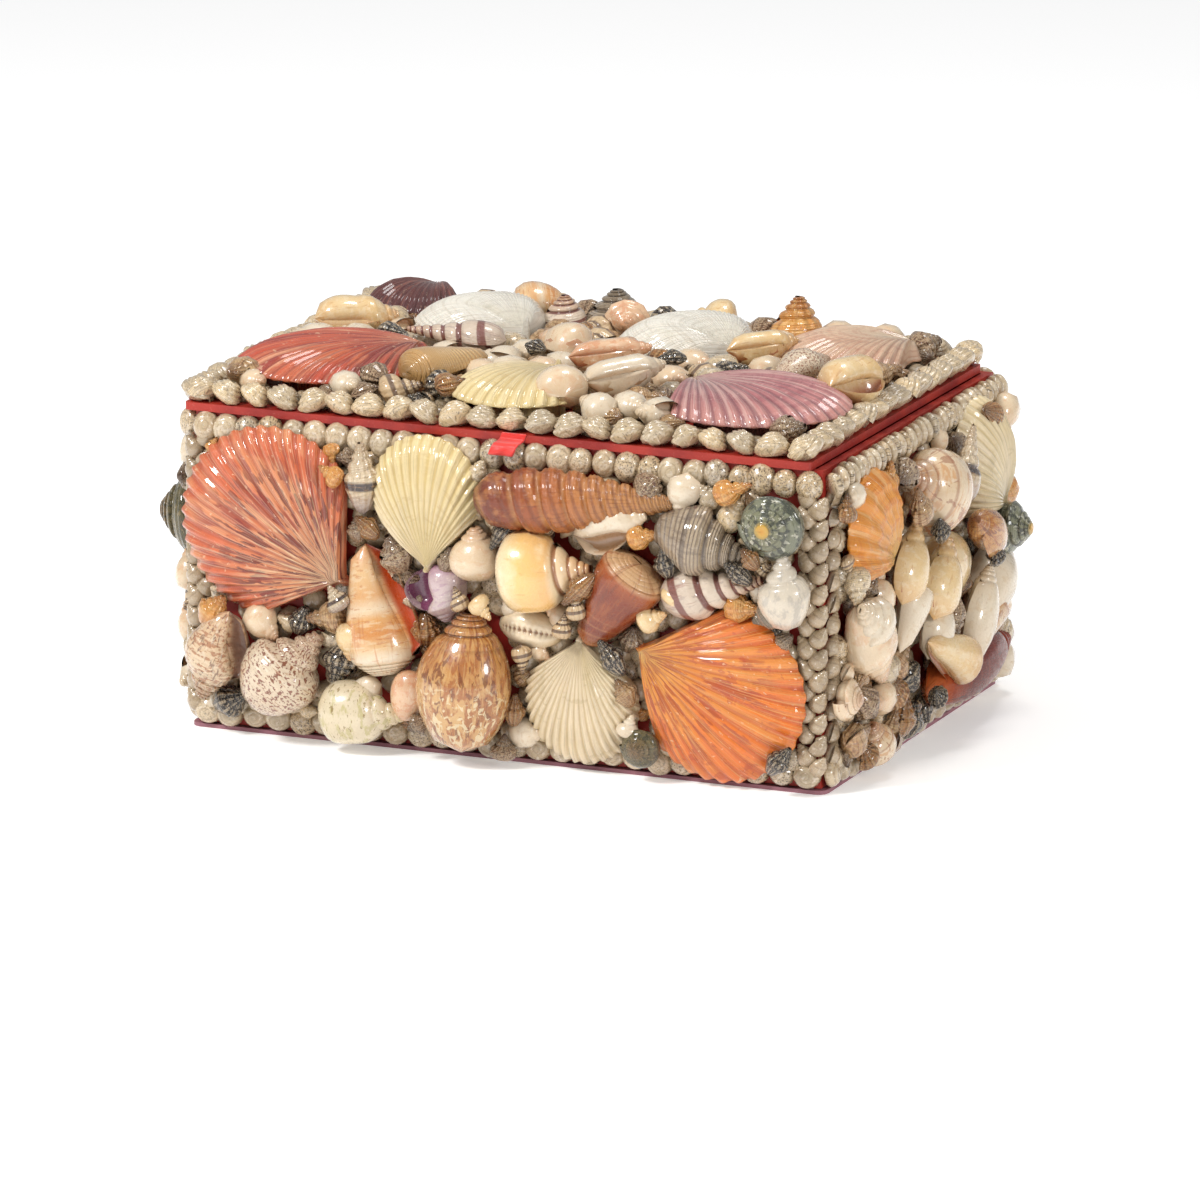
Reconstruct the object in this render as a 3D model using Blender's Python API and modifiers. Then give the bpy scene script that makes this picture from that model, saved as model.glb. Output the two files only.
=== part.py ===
"""A keepsake box with a lift-off lid, covered all over with sea shells.

Metres, +Z up. The origin is the centre of the base board's underside. The front faces -Y.
Each shell is placed on a flat layout sheet in millimetres, one sheet for each face of the box.
A sheet stretches to the field that the bead rows leave free on its face.
"""

import math

import bmesh
import bpy
import numpy as np
from mathutils import Matrix, Vector

# Driving dimensions: the box
BOX_WIDTH = 0.254
BOX_DEPTH = 0.176
WALL_HEIGHT = 0.1209
WALL_THICKNESS = 0.0035
FLOOR_THICKNESS = 0.0025
BASE_THICKNESS = 0.0015
BASE_OVERHANG = 0.0025
BASE_CORNER = 0.004
LID_THICKNESS = 0.003
LID_CORNER = 0.0015
LID_SHIFT_X = -0.004
LID_SHIFT_Y = -0.002

# Driving dimensions: the rows of small button shells
BEAD_DEPTH = 0.006
RIM_BEAD_HEIGHT = 0.0095
RIM_BEAD_PITCH = 0.0092
FOOT_BEAD_HEIGHT = 0.0095
FOOT_BEAD_PITCH = 0.0100
CORNER_BEAD_WIDTH = 0.0085
CORNER_BEAD_PITCH = 0.0087
LID_BEAD_WIDTH = 0.0105
LID_BEAD_RISE = 0.0080
LID_BEAD_PITCH = 0.0120
LID_BEAD_LEAN = 0.0020

# Driving dimensions: the ribbon tab
RIBBON_WIDTH = 0.0100
RIBBON_THICKNESS = 0.0005
RIBBON_DROP = 0.0040
RIBBON_FOLD = 0.0018
RIBBON_X = 0.0035

# Driving dimension: how far one unit of a layout sheet stands out of its face
RELIEF_UNIT = 0.001

# Clearances
SEAM_GAP = 0.0003
ROW_GAP = 0.0006

# Faces that meet at a wider angle than this keep a crisp edge
SHARP_ANGLE = math.radians(50)

# Heights that follow from the dimensions
WALL_BOTTOM = BASE_THICKNESS + SEAM_GAP
WALL_TOP = WALL_BOTTOM + WALL_HEIGHT
LID_BOTTOM = WALL_TOP + SEAM_GAP
LID_TOP = LID_BOTTOM + LID_THICKNESS
FOOT_ROW_TOP = WALL_BOTTOM + FOOT_BEAD_HEIGHT
RIM_ROW_BOTTOM = WALL_TOP - RIM_BEAD_HEIGHT
ON_BEADS = (BEAD_DEPTH + 2 * SEAM_GAP) / RELIEF_UNIT
ON_LID_BEADS = (LID_BEAD_RISE + 2 * SEAM_GAP) / RELIEF_UNIT
ON_WALL = SEAM_GAP / RELIEF_UNIT

# The layout sheets: left, right, bottom and top of the free field, in millimetres
LONG_SHEET = (-118.5, 118.5, 11.5, 113.0)
SHORT_SHEET = (-79.5, 79.5, 11.5, 113.0)
LID_SHEET = (-116.0, 116.0, -77.0, 77.0)


class Face:
    """A covered face. Sheet places run u along it, v up it and w out of it."""

    def __init__(self, origin, along, up, sheet=None, field=None):
        self.origin = Vector(origin)
        self.along = Vector(along)
        self.up = Vector(up)
        self.out = self.along.cross(self.up)
        self.sheet = sheet
        self.field = field

    def real(self, along, up, out):
        """The world point of distances in metres along, up and out of the face."""
        return self.origin + self.along * along + self.up * up + self.out * out

    def place(self, u, v, w):
        """The world point of a place on the layout sheet, in millimetres."""
        left, right, bottom, top = self.sheet
        start, end, low, high = self.field
        along = start + (end - start) * (u - left) / (right - left)
        up = low + (high - low) * (v - bottom) / (top - bottom)
        return self.real(along, up, w * RELIEF_UNIT)


def wall_face(origin, along, length, sheet):
    """A face of the walls, whose field lies between its corner columns and its bead rows."""
    half = length / 2 - CORNER_BEAD_WIDTH - ROW_GAP
    field = (-half, half, FOOT_ROW_TOP + ROW_GAP, RIM_ROW_BOTTOM - ROW_GAP)
    return Face(origin, along, (0, 0, 1), sheet, field)


def lid_face():
    """The top of the lid, whose field lies inside its four bead rows."""
    half_width = BOX_WIDTH / 2 - LID_BEAD_WIDTH - ROW_GAP
    half_depth = BOX_DEPTH / 2 - LID_BEAD_WIDTH - ROW_GAP
    field = (-half_width, half_width, -half_depth, half_depth)
    return Face((LID_SHIFT_X, LID_SHIFT_Y, LID_TOP), (1, 0, 0), (0, 1, 0), LID_SHEET, field)


FRONT = wall_face((0, -BOX_DEPTH / 2, 0), (1, 0, 0), BOX_WIDTH, LONG_SHEET)
RIGHT = wall_face((BOX_WIDTH / 2, 0, 0), (0, 1, 0), BOX_DEPTH, SHORT_SHEET)
BACK = wall_face((0, BOX_DEPTH / 2, 0), (-1, 0, 0), BOX_WIDTH, LONG_SHEET)
LEFT = wall_face((-BOX_WIDTH / 2, 0, 0), (0, -1, 0), BOX_DEPTH, SHORT_SHEET)
LID = lid_face()


def clear_scene():
    """Removes what the scene holds at the start."""
    for thing in list(bpy.data.objects):
        bpy.data.objects.remove(thing, do_unlink=True)


def new_collection(name):
    """A collection in the scene."""
    collection = bpy.data.collections.new(name)
    bpy.context.scene.collection.children.link(collection)
    return collection


def paint(thing, colour, roughness):
    """Gives an object its own material."""
    material = bpy.data.materials.new(thing.name)
    material.use_nodes = True
    surface = material.node_tree.nodes["Principled BSDF"]
    surface.inputs["Base Color"].default_value = (*colour, 1)
    surface.inputs["Roughness"].default_value = roughness
    thing.data.materials.append(material)


def object_of(name, bm, colour, roughness=0.3):
    """Makes a painted object of a closed bmesh and adds it to the box's collection."""
    bmesh.ops.recalc_face_normals(bm, faces=bm.faces)
    if bm.calc_volume(signed=True) < 0:
        bmesh.ops.reverse_faces(bm, faces=bm.faces)
    mesh = bpy.data.meshes.new(name)
    bm.to_mesh(mesh)
    bm.free()
    mesh.shade_smooth()
    mesh.set_sharp_from_angle(angle=SHARP_ANGLE)
    thing = bpy.data.objects.new(name, mesh)
    BOX.objects.link(thing)
    paint(thing, colour, roughness)
    return thing


def block(name, size, centre, corner, colour, roughness):
    """A board from a cube, with its four upright edges rounded."""
    bm = bmesh.new()
    bmesh.ops.create_cube(bm, size=1, matrix=Matrix.Diagonal((*size, 1)))
    if corner:
        upright = [edge for edge in bm.edges if abs(edge.verts[0].co.z - edge.verts[1].co.z) > 0]
        bmesh.ops.bevel(bm, geom=upright, offset=corner, segments=3, profile=0.5, affect="EDGES")
    thing = object_of(name, bm, colour, roughness)
    thing.location = centre
    return thing


def loft(rings, first=None, last=None):
    """Skins closed rings of points. An end is closed by a tip, or by a flat cap where it has none."""
    bm = bmesh.new()
    rows = [[bm.verts.new(point) for point in ring] for ring in rings]
    count = len(rows[0])
    for lower, upper in zip(rows, rows[1:]):
        for k in range(count):
            n = (k + 1) % count
            bm.faces.new((lower[k], lower[n], upper[n], upper[k]))
    for row, tip in ((rows[0], first), (rows[-1], last)):
        if tip is None:
            bm.faces.new(row)
            continue
        point = bm.verts.new(tip)
        for k in range(count):
            bm.faces.new((row[k], row[(k + 1) % count], point))
    return bm


# Rows of button shells

WAIST = 0.66


def bead_sections(start, end, pitch):
    """Where a row's sections lie, and their share of full size: waists where two beads touch."""
    beads = max(2, round((end - start) / pitch))
    step = (end - start) / (2 * beads)
    return [(start + step * k, 1.0 if k % 2 else WAIST) for k in range(2 * beads + 1)]


def bead_row(name, frame, start, end, pitch, outline, colour):
    """A straight row of touching beads. The outline gives (up, out) pairs for a section's share."""
    rings = []
    for along, share in bead_sections(start, end, pitch):
        rings.append([frame.real(along, up, out) for up, out in outline(share)])
    object_of(name, loft(rings), colour)


def wall_bead(middle, height):
    """The section of a bead against a wall."""

    def outline(share):
        half = height / 2 * share
        out = SEAM_GAP + BEAD_DEPTH * share
        return (
            (middle - half, SEAM_GAP),
            (middle - 0.6 * half, out),
            (middle + 0.6 * half, out),
            (middle + half, SEAM_GAP),
        )

    return outline


def lid_bead(share):
    """The section of a bead that leans out over the lid's edge."""
    width = LID_BEAD_WIDTH * share
    rise = SEAM_GAP + LID_BEAD_RISE * share
    lean = LID_BEAD_LEAN * share
    return (
        (-width, SEAM_GAP),
        (-0.75 * width, rise),
        (lean, 0.75 * rise),
        (lean, SEAM_GAP),
    )


def corner_column(name, x_side, y_side):
    """The two upright rows that meet at a corner of the walls, as one piece."""
    low = FOOT_ROW_TOP + ROW_GAP
    high = RIM_ROW_BOTTOM - ROW_GAP
    rings = []
    for height, share in bead_sections(low, high, CORNER_BEAD_PITCH):
        near = -CORNER_BEAD_WIDTH
        far = SEAM_GAP + BEAD_DEPTH * share
        crest = near * (0.5 + 0.3 * share)
        valley = far * 0.3
        section = (
            (near, SEAM_GAP),
            (crest, far),
            (near * 0.25, far),
            (valley, valley),
            (far, near * 0.25),
            (far, crest),
            (SEAM_GAP, near),
            (SEAM_GAP, SEAM_GAP),
        )
        corner = Vector((x_side * BOX_WIDTH / 2, y_side * BOX_DEPTH / 2, height))
        rings.append([corner + Vector((x_side * x, y_side * y, 0)) for x, y in section])
    object_of(name, loft(rings), BEAD_GREY)


def lid_rows():
    """The four rows round the lid. The side rows end against the front and back rows."""
    half_width = BOX_WIDTH / 2
    half_depth = BOX_DEPTH / 2
    side = half_depth - LID_BEAD_WIDTH - ROW_GAP
    centre = Vector((LID_SHIFT_X, LID_SHIFT_Y, LID_TOP))
    ledges = (
        ("lid_bead_row_front", Vector((0, -half_depth, 0)), (-1, 0, 0), (0, -1, 0), half_width),
        ("lid_bead_row_back", Vector((0, half_depth, 0)), (1, 0, 0), (0, 1, 0), half_width),
        ("lid_bead_row_right", Vector((half_width, 0, 0)), (0, -1, 0), (1, 0, 0), side),
        ("lid_bead_row_left", Vector((-half_width, 0, 0)), (0, 1, 0), (-1, 0, 0), side),
    )
    for name, edge, along, outward, half in ledges:
        ledge = Face(centre + edge, along, outward)
        bead_row(name, ledge, -half, half, LID_BEAD_PITCH, lid_bead, BEAD_GREY)


def wall_rows():
    """The rim row and the foot row of each wall, and the columns at the corners."""
    rim = wall_bead(WALL_TOP - RIM_BEAD_HEIGHT / 2, RIM_BEAD_HEIGHT)
    foot = wall_bead(WALL_BOTTOM + FOOT_BEAD_HEIGHT / 2, FOOT_BEAD_HEIGHT)
    sides = (
        ("front", FRONT, BOX_WIDTH / 2),
        ("right", RIGHT, BOX_DEPTH / 2),
        ("back", BACK, BOX_WIDTH / 2),
        ("left", LEFT, BOX_DEPTH / 2),
    )
    for side, face, half in sides:
        bead_row("rim_bead_row_" + side, face, -half, half, RIM_BEAD_PITCH, rim, BEAD_GREY)
        bead_row("foot_bead_row_" + side, face, -half, half, FOOT_BEAD_PITCH, foot, BEAD_GREY)
    corner_column("corner_beads_front_left", -1, -1)
    corner_column("corner_beads_front_right", 1, -1)
    corner_column("corner_beads_back_right", 1, 1)
    corner_column("corner_beads_back_left", -1, 1)


# Bivalve shells

EDGE = 0.8
FOOT_SHARE = 0.62
MARGIN_SWEEP = math.radians(118)
DOME_RINGS = ((0.34, 0.86), (0.68, 1.0), (1.0, 0.0))
BEAK_HEIGHT = 0.55


def fan_outline(beak, centre, radius, ribs, ears):
    """The outline seen from outside, as (u, v, rib, side) round from one ear to the other."""
    beak = Vector(beak)
    centre = Vector(centre)
    axis = (centre - beak).normalized()
    across = Vector((-axis.y, axis.x))
    ear = ears * radius
    points = [(beak - across * ear, 0, -1.0)]
    points.append((beak - across * ear + axis * 0.3 * radius, 0, -1.0))
    for k in range(2 * ribs + 1):
        side = k / ribs - 1
        angle = side * MARGIN_SWEEP
        reach = radius * (1 - 0.035 * (k % 2 == 0))
        spot = centre + axis * reach * math.cos(angle) + across * reach * math.sin(angle)
        points.append((spot, k % 2, side))
    points.append((beak + across * ear + axis * 0.3 * radius, 0, 1.0))
    points.append((beak + across * ear, 0, 1.0))
    return points


def fan_shell(name, face, beak, centre, radius, dome, colour, ribs=7, ears=0.3, lift=ON_WALL):
    """A domed half shell with ribs from its beak to its margin, on a narrower foot of glue."""
    outline = fan_outline(beak, centre, radius, ribs, ears)
    inward = (Vector(centre) - Vector(beak)).normalized() * 0.12 * radius
    start = Vector(beak) + inward
    rings = []
    for share, height in DOME_RINGS:
        ring = []
        for point, rib, side in outline:
            place = start.lerp(point, share)
            fall = 1 - 0.75 * abs(side) ** 3
            rise = dome * height * fall * (0.9 + 0.1 * rib)
            ring.append(face.place(place.x, place.y, lift + EDGE + rise))
        rings.append(ring)
    middle = Vector(beak).lerp(Vector(centre), 0.75)
    for share, w in ((0.9, lift), (FOOT_SHARE, lift), (FOOT_SHARE, ON_WALL)):
        if w == lift == ON_WALL and share == FOOT_SHARE:
            continue
        ring = [middle.lerp(point, share) for point, _, _ in outline]
        rings.append([face.place(place.x, place.y, w) for place in ring])
    tip = face.place(start.x, start.y, lift + EDGE + dome * BEAK_HEIGHT)
    object_of(name, loft(rings, first=tip), colour)


# Spiral shells

# Each form: (share of the length from the tip, share of the greatest radius), then its spiral
FORMS = {
    "turret": (((0, 0.06), (0.86, 1), (0.95, 0.8), (1, 0.4)), 0.86, 1.17, 8),
    "whelk": (((0, 0.05), (0.3, 0.6), (0.52, 1), (0.78, 0.76), (1, 0.3)), 0.42, 1.55, 4),
    "moon": (((0, 0.1), (0.2, 0.5), (0.5, 1), (0.8, 0.98), (1, 0.5)), 0.3, 1.7, 3),
    "cone": (((0, 0.15), (0.15, 1), (0.5, 0.85), (1, 0.35)), 0.14, 1.4, 2),
    "volute": (((0, 0.12), (0.15, 0.5), (0.42, 1), (0.75, 0.92), (1, 0.45)), 0.16, 1.6, 3),
    "turban": (((0, 0.1), (0.3, 0.66), (0.62, 1), (0.85, 0.9), (1, 0.5)), 0.42, 1.6, 3),
}
SUTURE = 0.13
COLUMELLA = 0.55
BASE_RINGS = 2
MOUTH_DEPTH = 0.35


def smooth_between(pairs, place):
    """The value of a smooth line through (place, value) pairs."""
    places = [pair[0] for pair in pairs]
    values = [pair[1] for pair in pairs]
    k = int(np.clip(np.searchsorted(places, place) - 1, 0, len(pairs) - 2))
    width = places[k + 1] - places[k]
    slopes = np.gradient(values, places)
    t = (place - places[k]) / width
    rise = values[k + 1] - values[k]
    return float(
        values[k]
        + rise * (3 * t**2 - 2 * t**3)
        + width * (slopes[k] * (t - 2 * t**2 + t**3) + slopes[k + 1] * (t**3 - t**2))
    )


def shell_frame(tip, base, roll):
    """The shell's own directions: up its axis to the tip, to its side and towards its front."""
    axis = (tip - base).normalized()
    view = Vector((0, 0, 1)) if abs(axis.z) < 0.9 else Vector((0, 1, 0))
    front = (view - axis * view.dot(axis)).normalized()
    turn = Matrix.Rotation(roll, 3, axis)
    return turn @ axis.cross(front), turn @ front


def spiral_shell(name, face, form, tip, base, width, colour, roll=0, sides=8, steps=2, flat=0.85):
    """A coiled shell: its whorls are one strip that winds from the mouth up to the tip."""
    outline, last_suture, growth, turns = FORMS[form]
    tip = Vector(tip)
    base = Vector(base)
    side, front = shell_frame(tip, base, math.radians(roll))
    bm = bmesh.new()

    def point(place, angle, share):
        radius = width / 2 * smooth_between(outline, place) * share
        off = radius * (math.cos(angle) * side - math.sin(angle) * front)
        off.z *= flat
        spot = tip.lerp(base, place) + off
        return bm.verts.new(face.place(*spot))

    def strip_point(row, column):
        """A vertex of the strip. The last column meets the first one a whorl further up."""
        if column == sides:
            return strip_point(row + steps, 0)
        if (row, column) not in made:
            winding = row / steps + column / sides
            groove = SUTURE if row % steps == 0 else 0
            angle = 2 * math.pi * column / sides
            made[row, column] = point(last_suture * growth**-winding, angle, 1 - groove)
        return made[row, column]

    made = {}
    top = (turns - 1) * steps
    for row in range(-steps, top):
        for column in range(sides):
            bm.faces.new(
                (
                    strip_point(row, column),
                    strip_point(row, column + 1),
                    strip_point(row + 1, column + 1),
                    strip_point(row + 1, column),
                )
            )
    end = point(0, 0, 0.01)
    crown = [strip_point(top, column) for column in range(sides + 1)]
    crown += [strip_point(row, 0) for row in range(top + steps - 1, top, -1)]
    for k, vertex in enumerate(crown):
        bm.faces.new((vertex, crown[(k + 1) % len(crown)], end))

    foot = point(1, 0, 0.01)
    previous = [strip_point(-steps, column) for column in range(sides + 1)]
    inner = []
    outer = []
    for ring in range(1, BASE_RINGS + 1):
        row = []
        for column in range(sides + 1):
            start = last_suture * growth ** (1 - column / sides)
            place = start + (1 - start) * ring / (BASE_RINGS + 0.3)
            row.append(point(place, 2 * math.pi * column / sides, 1 - COLUMELLA * (column / sides) ** 2))
        for k in range(sides):
            bm.faces.new((previous[k], previous[k + 1], row[k + 1], row[k]))
        outer.append(row[0])
        inner.append(row[-1])
        previous = row
    for k in range(sides):
        bm.faces.new((previous[k], previous[k + 1], foot))
    lip = [strip_point(row, 0) for row in range(0, -steps - 1, -1)]
    mouth = bm.faces.new(lip + outer + [foot] + inner[::-1])
    bmesh.ops.recalc_face_normals(bm, faces=bm.faces)
    carve_mouth(bm, mouth, width * RELIEF_UNIT)
    object_of(name, bm, colour)


def carve_mouth(bm, mouth, width):
    """Sinks the middle of the mouth into the shell."""
    bmesh.ops.poke(bm, faces=[mouth], offset=-MOUTH_DEPTH * width / 2)


def egg_shell(name, face, centre, size, turn, colour, lift=ON_WALL):
    """A smooth rounded shell from a sphere. The size gives its length, width and height."""
    length, width, height = size
    bm = bmesh.new()
    bmesh.ops.create_uvsphere(bm, u_segments=10, v_segments=6, radius=0.5)
    spin = Matrix.Rotation(math.radians(turn), 3, "Z")
    for vertex in bm.verts:
        off = Vector((vertex.co.z * length, vertex.co.y * width, vertex.co.x * height))
        spot = Vector((*centre, lift + height / 2)) + spin @ off
        vertex.co = face.place(*spot)
    object_of(name, bm, colour)


# Colours
PAPER_RED = (0.45, 0.045, 0.035)
BASE_MAUVE = (0.32, 0.14, 0.16)
RIBBON_RED = (0.80, 0.05, 0.03)
BEAD_GREY = (0.48, 0.44, 0.38)
ROSE = (0.66, 0.17, 0.11)
ORANGE = (0.80, 0.27, 0.04)
YELLOW_CREAM = (0.86, 0.82, 0.55)
WHITE = (0.82, 0.79, 0.70)
CREAM = (0.80, 0.66, 0.46)
TAN = (0.72, 0.46, 0.22)
BROWN = (0.36, 0.13, 0.05)
GREY = (0.32, 0.28, 0.27)
GREEN_GREY = (0.16, 0.17, 0.12)
MAUVE = (0.50, 0.23, 0.26)
LILAC = (0.60, 0.48, 0.60)
PINK = (0.78, 0.58, 0.52)
PLUM = (0.17, 0.04, 0.04)


def boards():
    """The base board, the walls with their floor, and the lid board."""
    base_size = (BOX_WIDTH + 2 * BASE_OVERHANG, BOX_DEPTH + 2 * BASE_OVERHANG, BASE_THICKNESS)
    block("base_board", base_size, (0, 0, BASE_THICKNESS / 2), BASE_CORNER, BASE_MAUVE, 0.6)
    walls_size = (BOX_WIDTH, BOX_DEPTH, WALL_HEIGHT)
    walls_centre = (0, 0, WALL_BOTTOM + WALL_HEIGHT / 2)
    walls = block("box_walls", walls_size, walls_centre, 0, PAPER_RED, 0.7)
    inside = (BOX_WIDTH - 2 * WALL_THICKNESS, BOX_DEPTH - 2 * WALL_THICKNESS, WALL_HEIGHT)
    cutter = block("inside_cutter", inside, walls_centre, 0, PAPER_RED, 0.7)
    cutter.location.z += FLOOR_THICKNESS
    BOX.objects.unlink(cutter)
    CUTTERS.objects.link(cutter)
    cutter.hide_render = True
    cutter.display_type = "WIRE"
    hollow = walls.modifiers.new("hollow", "BOOLEAN")
    hollow.operation = "DIFFERENCE"
    hollow.object = cutter
    lid_size = (BOX_WIDTH, BOX_DEPTH, LID_THICKNESS)
    lid_centre = (LID_SHIFT_X, LID_SHIFT_Y, LID_BOTTOM + LID_THICKNESS / 2)
    block("lid_board", lid_size, lid_centre, LID_CORNER, PAPER_RED, 0.7)


def ribbon_tab():
    """A strip glued to the lid's front edge that folds over the rim row and back on itself."""
    glued = -LID_SHIFT_Y + SEAM_GAP
    over = BEAD_DEPTH + RIBBON_THICKNESS + 2 * SEAM_GAP
    front = over + RIBBON_FOLD
    over_row = LID_BOTTOM + SEAM_GAP
    path = (
        (glued, LID_TOP - SEAM_GAP),
        (glued, over_row + RIBBON_THICKNESS),
        ((glued + over) / 2, over_row),
        (over, over_row),
        (front, over_row - 0.3 * RIBBON_DROP),
        (front, over_row - RIBBON_DROP),
        ((front + over) / 2, over_row - 1.2 * RIBBON_DROP),
        (over, over_row - RIBBON_DROP),
        (over, over_row - 0.5 * RIBBON_DROP),
    )
    bm = bmesh.new()
    edges = []
    for along in (RIBBON_X - RIBBON_WIDTH / 2, RIBBON_X + RIBBON_WIDTH / 2):
        edges.append([bm.verts.new(FRONT.real(along, up, out)) for out, up in path])
    for k in range(len(path) - 1):
        bm.faces.new((edges[0][k], edges[1][k], edges[1][k + 1], edges[0][k + 1]))
    ribbon = object_of("ribbon_tab", bm, RIBBON_RED, 0.4)
    solid = ribbon.modifiers.new("thickness", "SOLIDIFY")
    solid.thickness = RIBBON_THICKNESS
    solid.offset = 1


def front_shells():
    """The shells of the front wall."""
    fan_shell("rose_scallop", FRONT, (-62, 64), (-93, 84.5), 37, 8, ROSE, 9, 0.3, ON_BEADS)
    fan_shell("yellow_cockle", FRONT, (-27, 73), (-29, 101.5), 22.5, 8, YELLOW_CREAM, 8, 0.1, ON_BEADS)
    fan_shell("white_cockle", FRONT, (35, 53), (34, 27), 23.5, 8, WHITE, 8, 0.1, ON_BEADS)
    fan_shell("orange_scallop", FRONT, (57, 51), (90.5, 35.5), 33.5, 8, ORANGE, 9, 0.3, ON_BEADS)
    spiral_shell("orange_lipped_conch", FRONT, "cone", (-43, 30, 12), (-54, 80, 8), 27, CREAM, 20)
    spiral_shell("purple_snail", FRONT, "moon", (-13, 65, 7), (-35, 62, 10), 21, LILAC)
    spiral_shell("cream_moon_snail", FRONT, "moon", (-8, 91, 7), (-8, 71, 9), 20, WHITE, 150)
    spiral_shell("tall_volute", FRONT, "volute", (-8, 61, 14), (-11.5, 5, 16), 37, BROWN, 160)
    spiral_shell("mottled_turban", FRONT, "turban", (-31, 17, 14), (-70, 14, 15), 24, WHITE, 160)
    spiral_shell("frog_shell", FRONT, "whelk", (-69, 46, 11), (-98, 14, 15), 32, CREAM, 170)
    spiral_shell("helmet_shell", FRONT, "whelk", (-120, 15, 14), (-107, 50, 15), 25, CREAM, 10)
    spiral_shell("turret_shell", FRONT, "turret", (82, 108, 9), (-6, 103, 14), 22, BROWN, 140)
    spiral_shell("tan_moon_snail", FRONT, "moon", (43.5, 79.5, 12), (3, 75, 15), 31, TAN, 170)
    spiral_shell("brown_cone", FRONT, "cone", (61, 85, 12), (37, 51, 9), 24, BROWN, 170)
    spiral_shell("grey_whelk", FRONT, "whelk", (103, 89, 11), (65, 99, 12), 26, GREY, 170)
    spiral_shell("green_turban", FRONT, "turban", (112.5, 104, 25), (112.5, 104, 7), 26, GREEN_GREY)
    spiral_shell("striped_whelk", FRONT, "whelk", (112, 83, 8), (68, 71, 9), 17.5, CREAM, 170)
    egg_shell("cowrie", FRONT, (13, 53), (24, 13, 10), -5, WHITE)


def right_shells():
    """The shells of the right wall."""
    fan_shell("right_orange_scallop", RIGHT, (-42, 80), (-58, 96), 22, 7, ORANGE, 7, 0.3, ON_BEADS)
    spiral_shell("right_moon_snail", RIGHT, "moon", (-24, 108, 10), (10, 92, 12), 32, CREAM, 170)
    fan_shell("right_white_cockle", RIGHT, (66, 77), (50, 98), 24, 11, WHITE, 8, 0.1, ON_BEADS)
    egg_shell("right_tan_shell", RIGHT, (4, 65), (42, 27, 20), 5, TAN)
    spiral_shell("right_conch", RIGHT, "whelk", (-78, 70, 9), (-52, 34, 11), 25, CREAM, 170)
    spiral_shell("right_brown_olive", RIGHT, "volute", (78, 22, 11.5), (-14, 22, 12.5), 24, BROWN, 160)
    spiral_shell("right_white_olive", RIGHT, "volute", (74, 58, 12), (34, 42, 13), 24, WHITE, 160)


def lid_shells():
    """The shells on top of the lid."""
    fan_shell("lid_coral_scallop", LID, (-60, -14), (-87, -41), 36.5, 8, ROSE, 9, 0.3, ON_LID_BEADS)
    fan_shell("lid_yellow_scallop", LID, (3, -33), (-2, -59), 26, 8, YELLOW_CREAM, 8, 0.25, ON_LID_BEADS)
    fan_shell("lid_mauve_scallop", LID, (55, -29), (88, -45), 36, 8, MAUVE, 9, 0.3, ON_LID_BEADS)
    fan_shell("lid_white_clam_left", LID, (-33, 20), (-61, 38), 30, 20, WHITE, 9, 0.1)
    fan_shell("lid_white_clam_right", LID, (52, 26), (24, 41), 31, 19, WHITE, 9, 0.1)
    fan_shell("lid_pink_scallop", LID, (110, 63), (88, 42), 28.5, 11, PINK, 9, 0.3)
    fan_shell("lid_plum_scallop", LID, (-96, 81), (-99, 62), 18.5, 8, PLUM, 7, 0.25, ON_LID_BEADS)
    spiral_shell("lid_orange_snail", LID, "moon", (-92, 24, 8), (-117, 8, 9), 20, TAN, 170)
    spiral_shell("lid_tan_cone", LID, "cone", (-32, -24, 8), (-48, -62, 7), 16, CREAM, 170)
    spiral_shell("lid_back_turban", LID, "turban", (-14, 64, 23), (-14, 64, 1), 24, GREEN_GREY)
    spiral_shell("lid_spire_snail", LID, "whelk", (60, 68, 26), (60, 64, 0.5), 18, TAN)


def hidden_side_shells():
    """The plainer left and back walls."""
    spiral_shell("left_turban", LEFT, "turban", (65, 77, 27), (62, 77, 1), 34, GREEN_GREY)
    fan_shell("left_scallop", LEFT, (10, 92), (-34, 68), 38, 9, PINK, 9, 0.3, ON_BEADS)
    fan_shell("back_scallop", BACK, (-30, 84), (-74, 66), 40, 9, ROSE, 9, 0.3, ON_BEADS)
    fan_shell("back_cockle", BACK, (30, 84), (74, 66), 40, 9, WHITE, 9, 0.3, ON_BEADS)


clear_scene()
BOX = new_collection("shell_box")
CUTTERS = new_collection("cutters")
boards()
ribbon_tab()
wall_rows()
lid_rows()
front_shells()
right_shells()
lid_shells()
hidden_side_shells()
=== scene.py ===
"""The looks of the shell box: every shell at full detail, the finishes, the light and the camera.

Each side of the box is a flat sheet. Places on it are (along, up, out) in millimetres,
and the rest is in metres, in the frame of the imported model.
"""

import math
from typing import NamedTuple

import bmesh
import bpy
import numpy as np
from mathutils import Matrix, Vector


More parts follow.
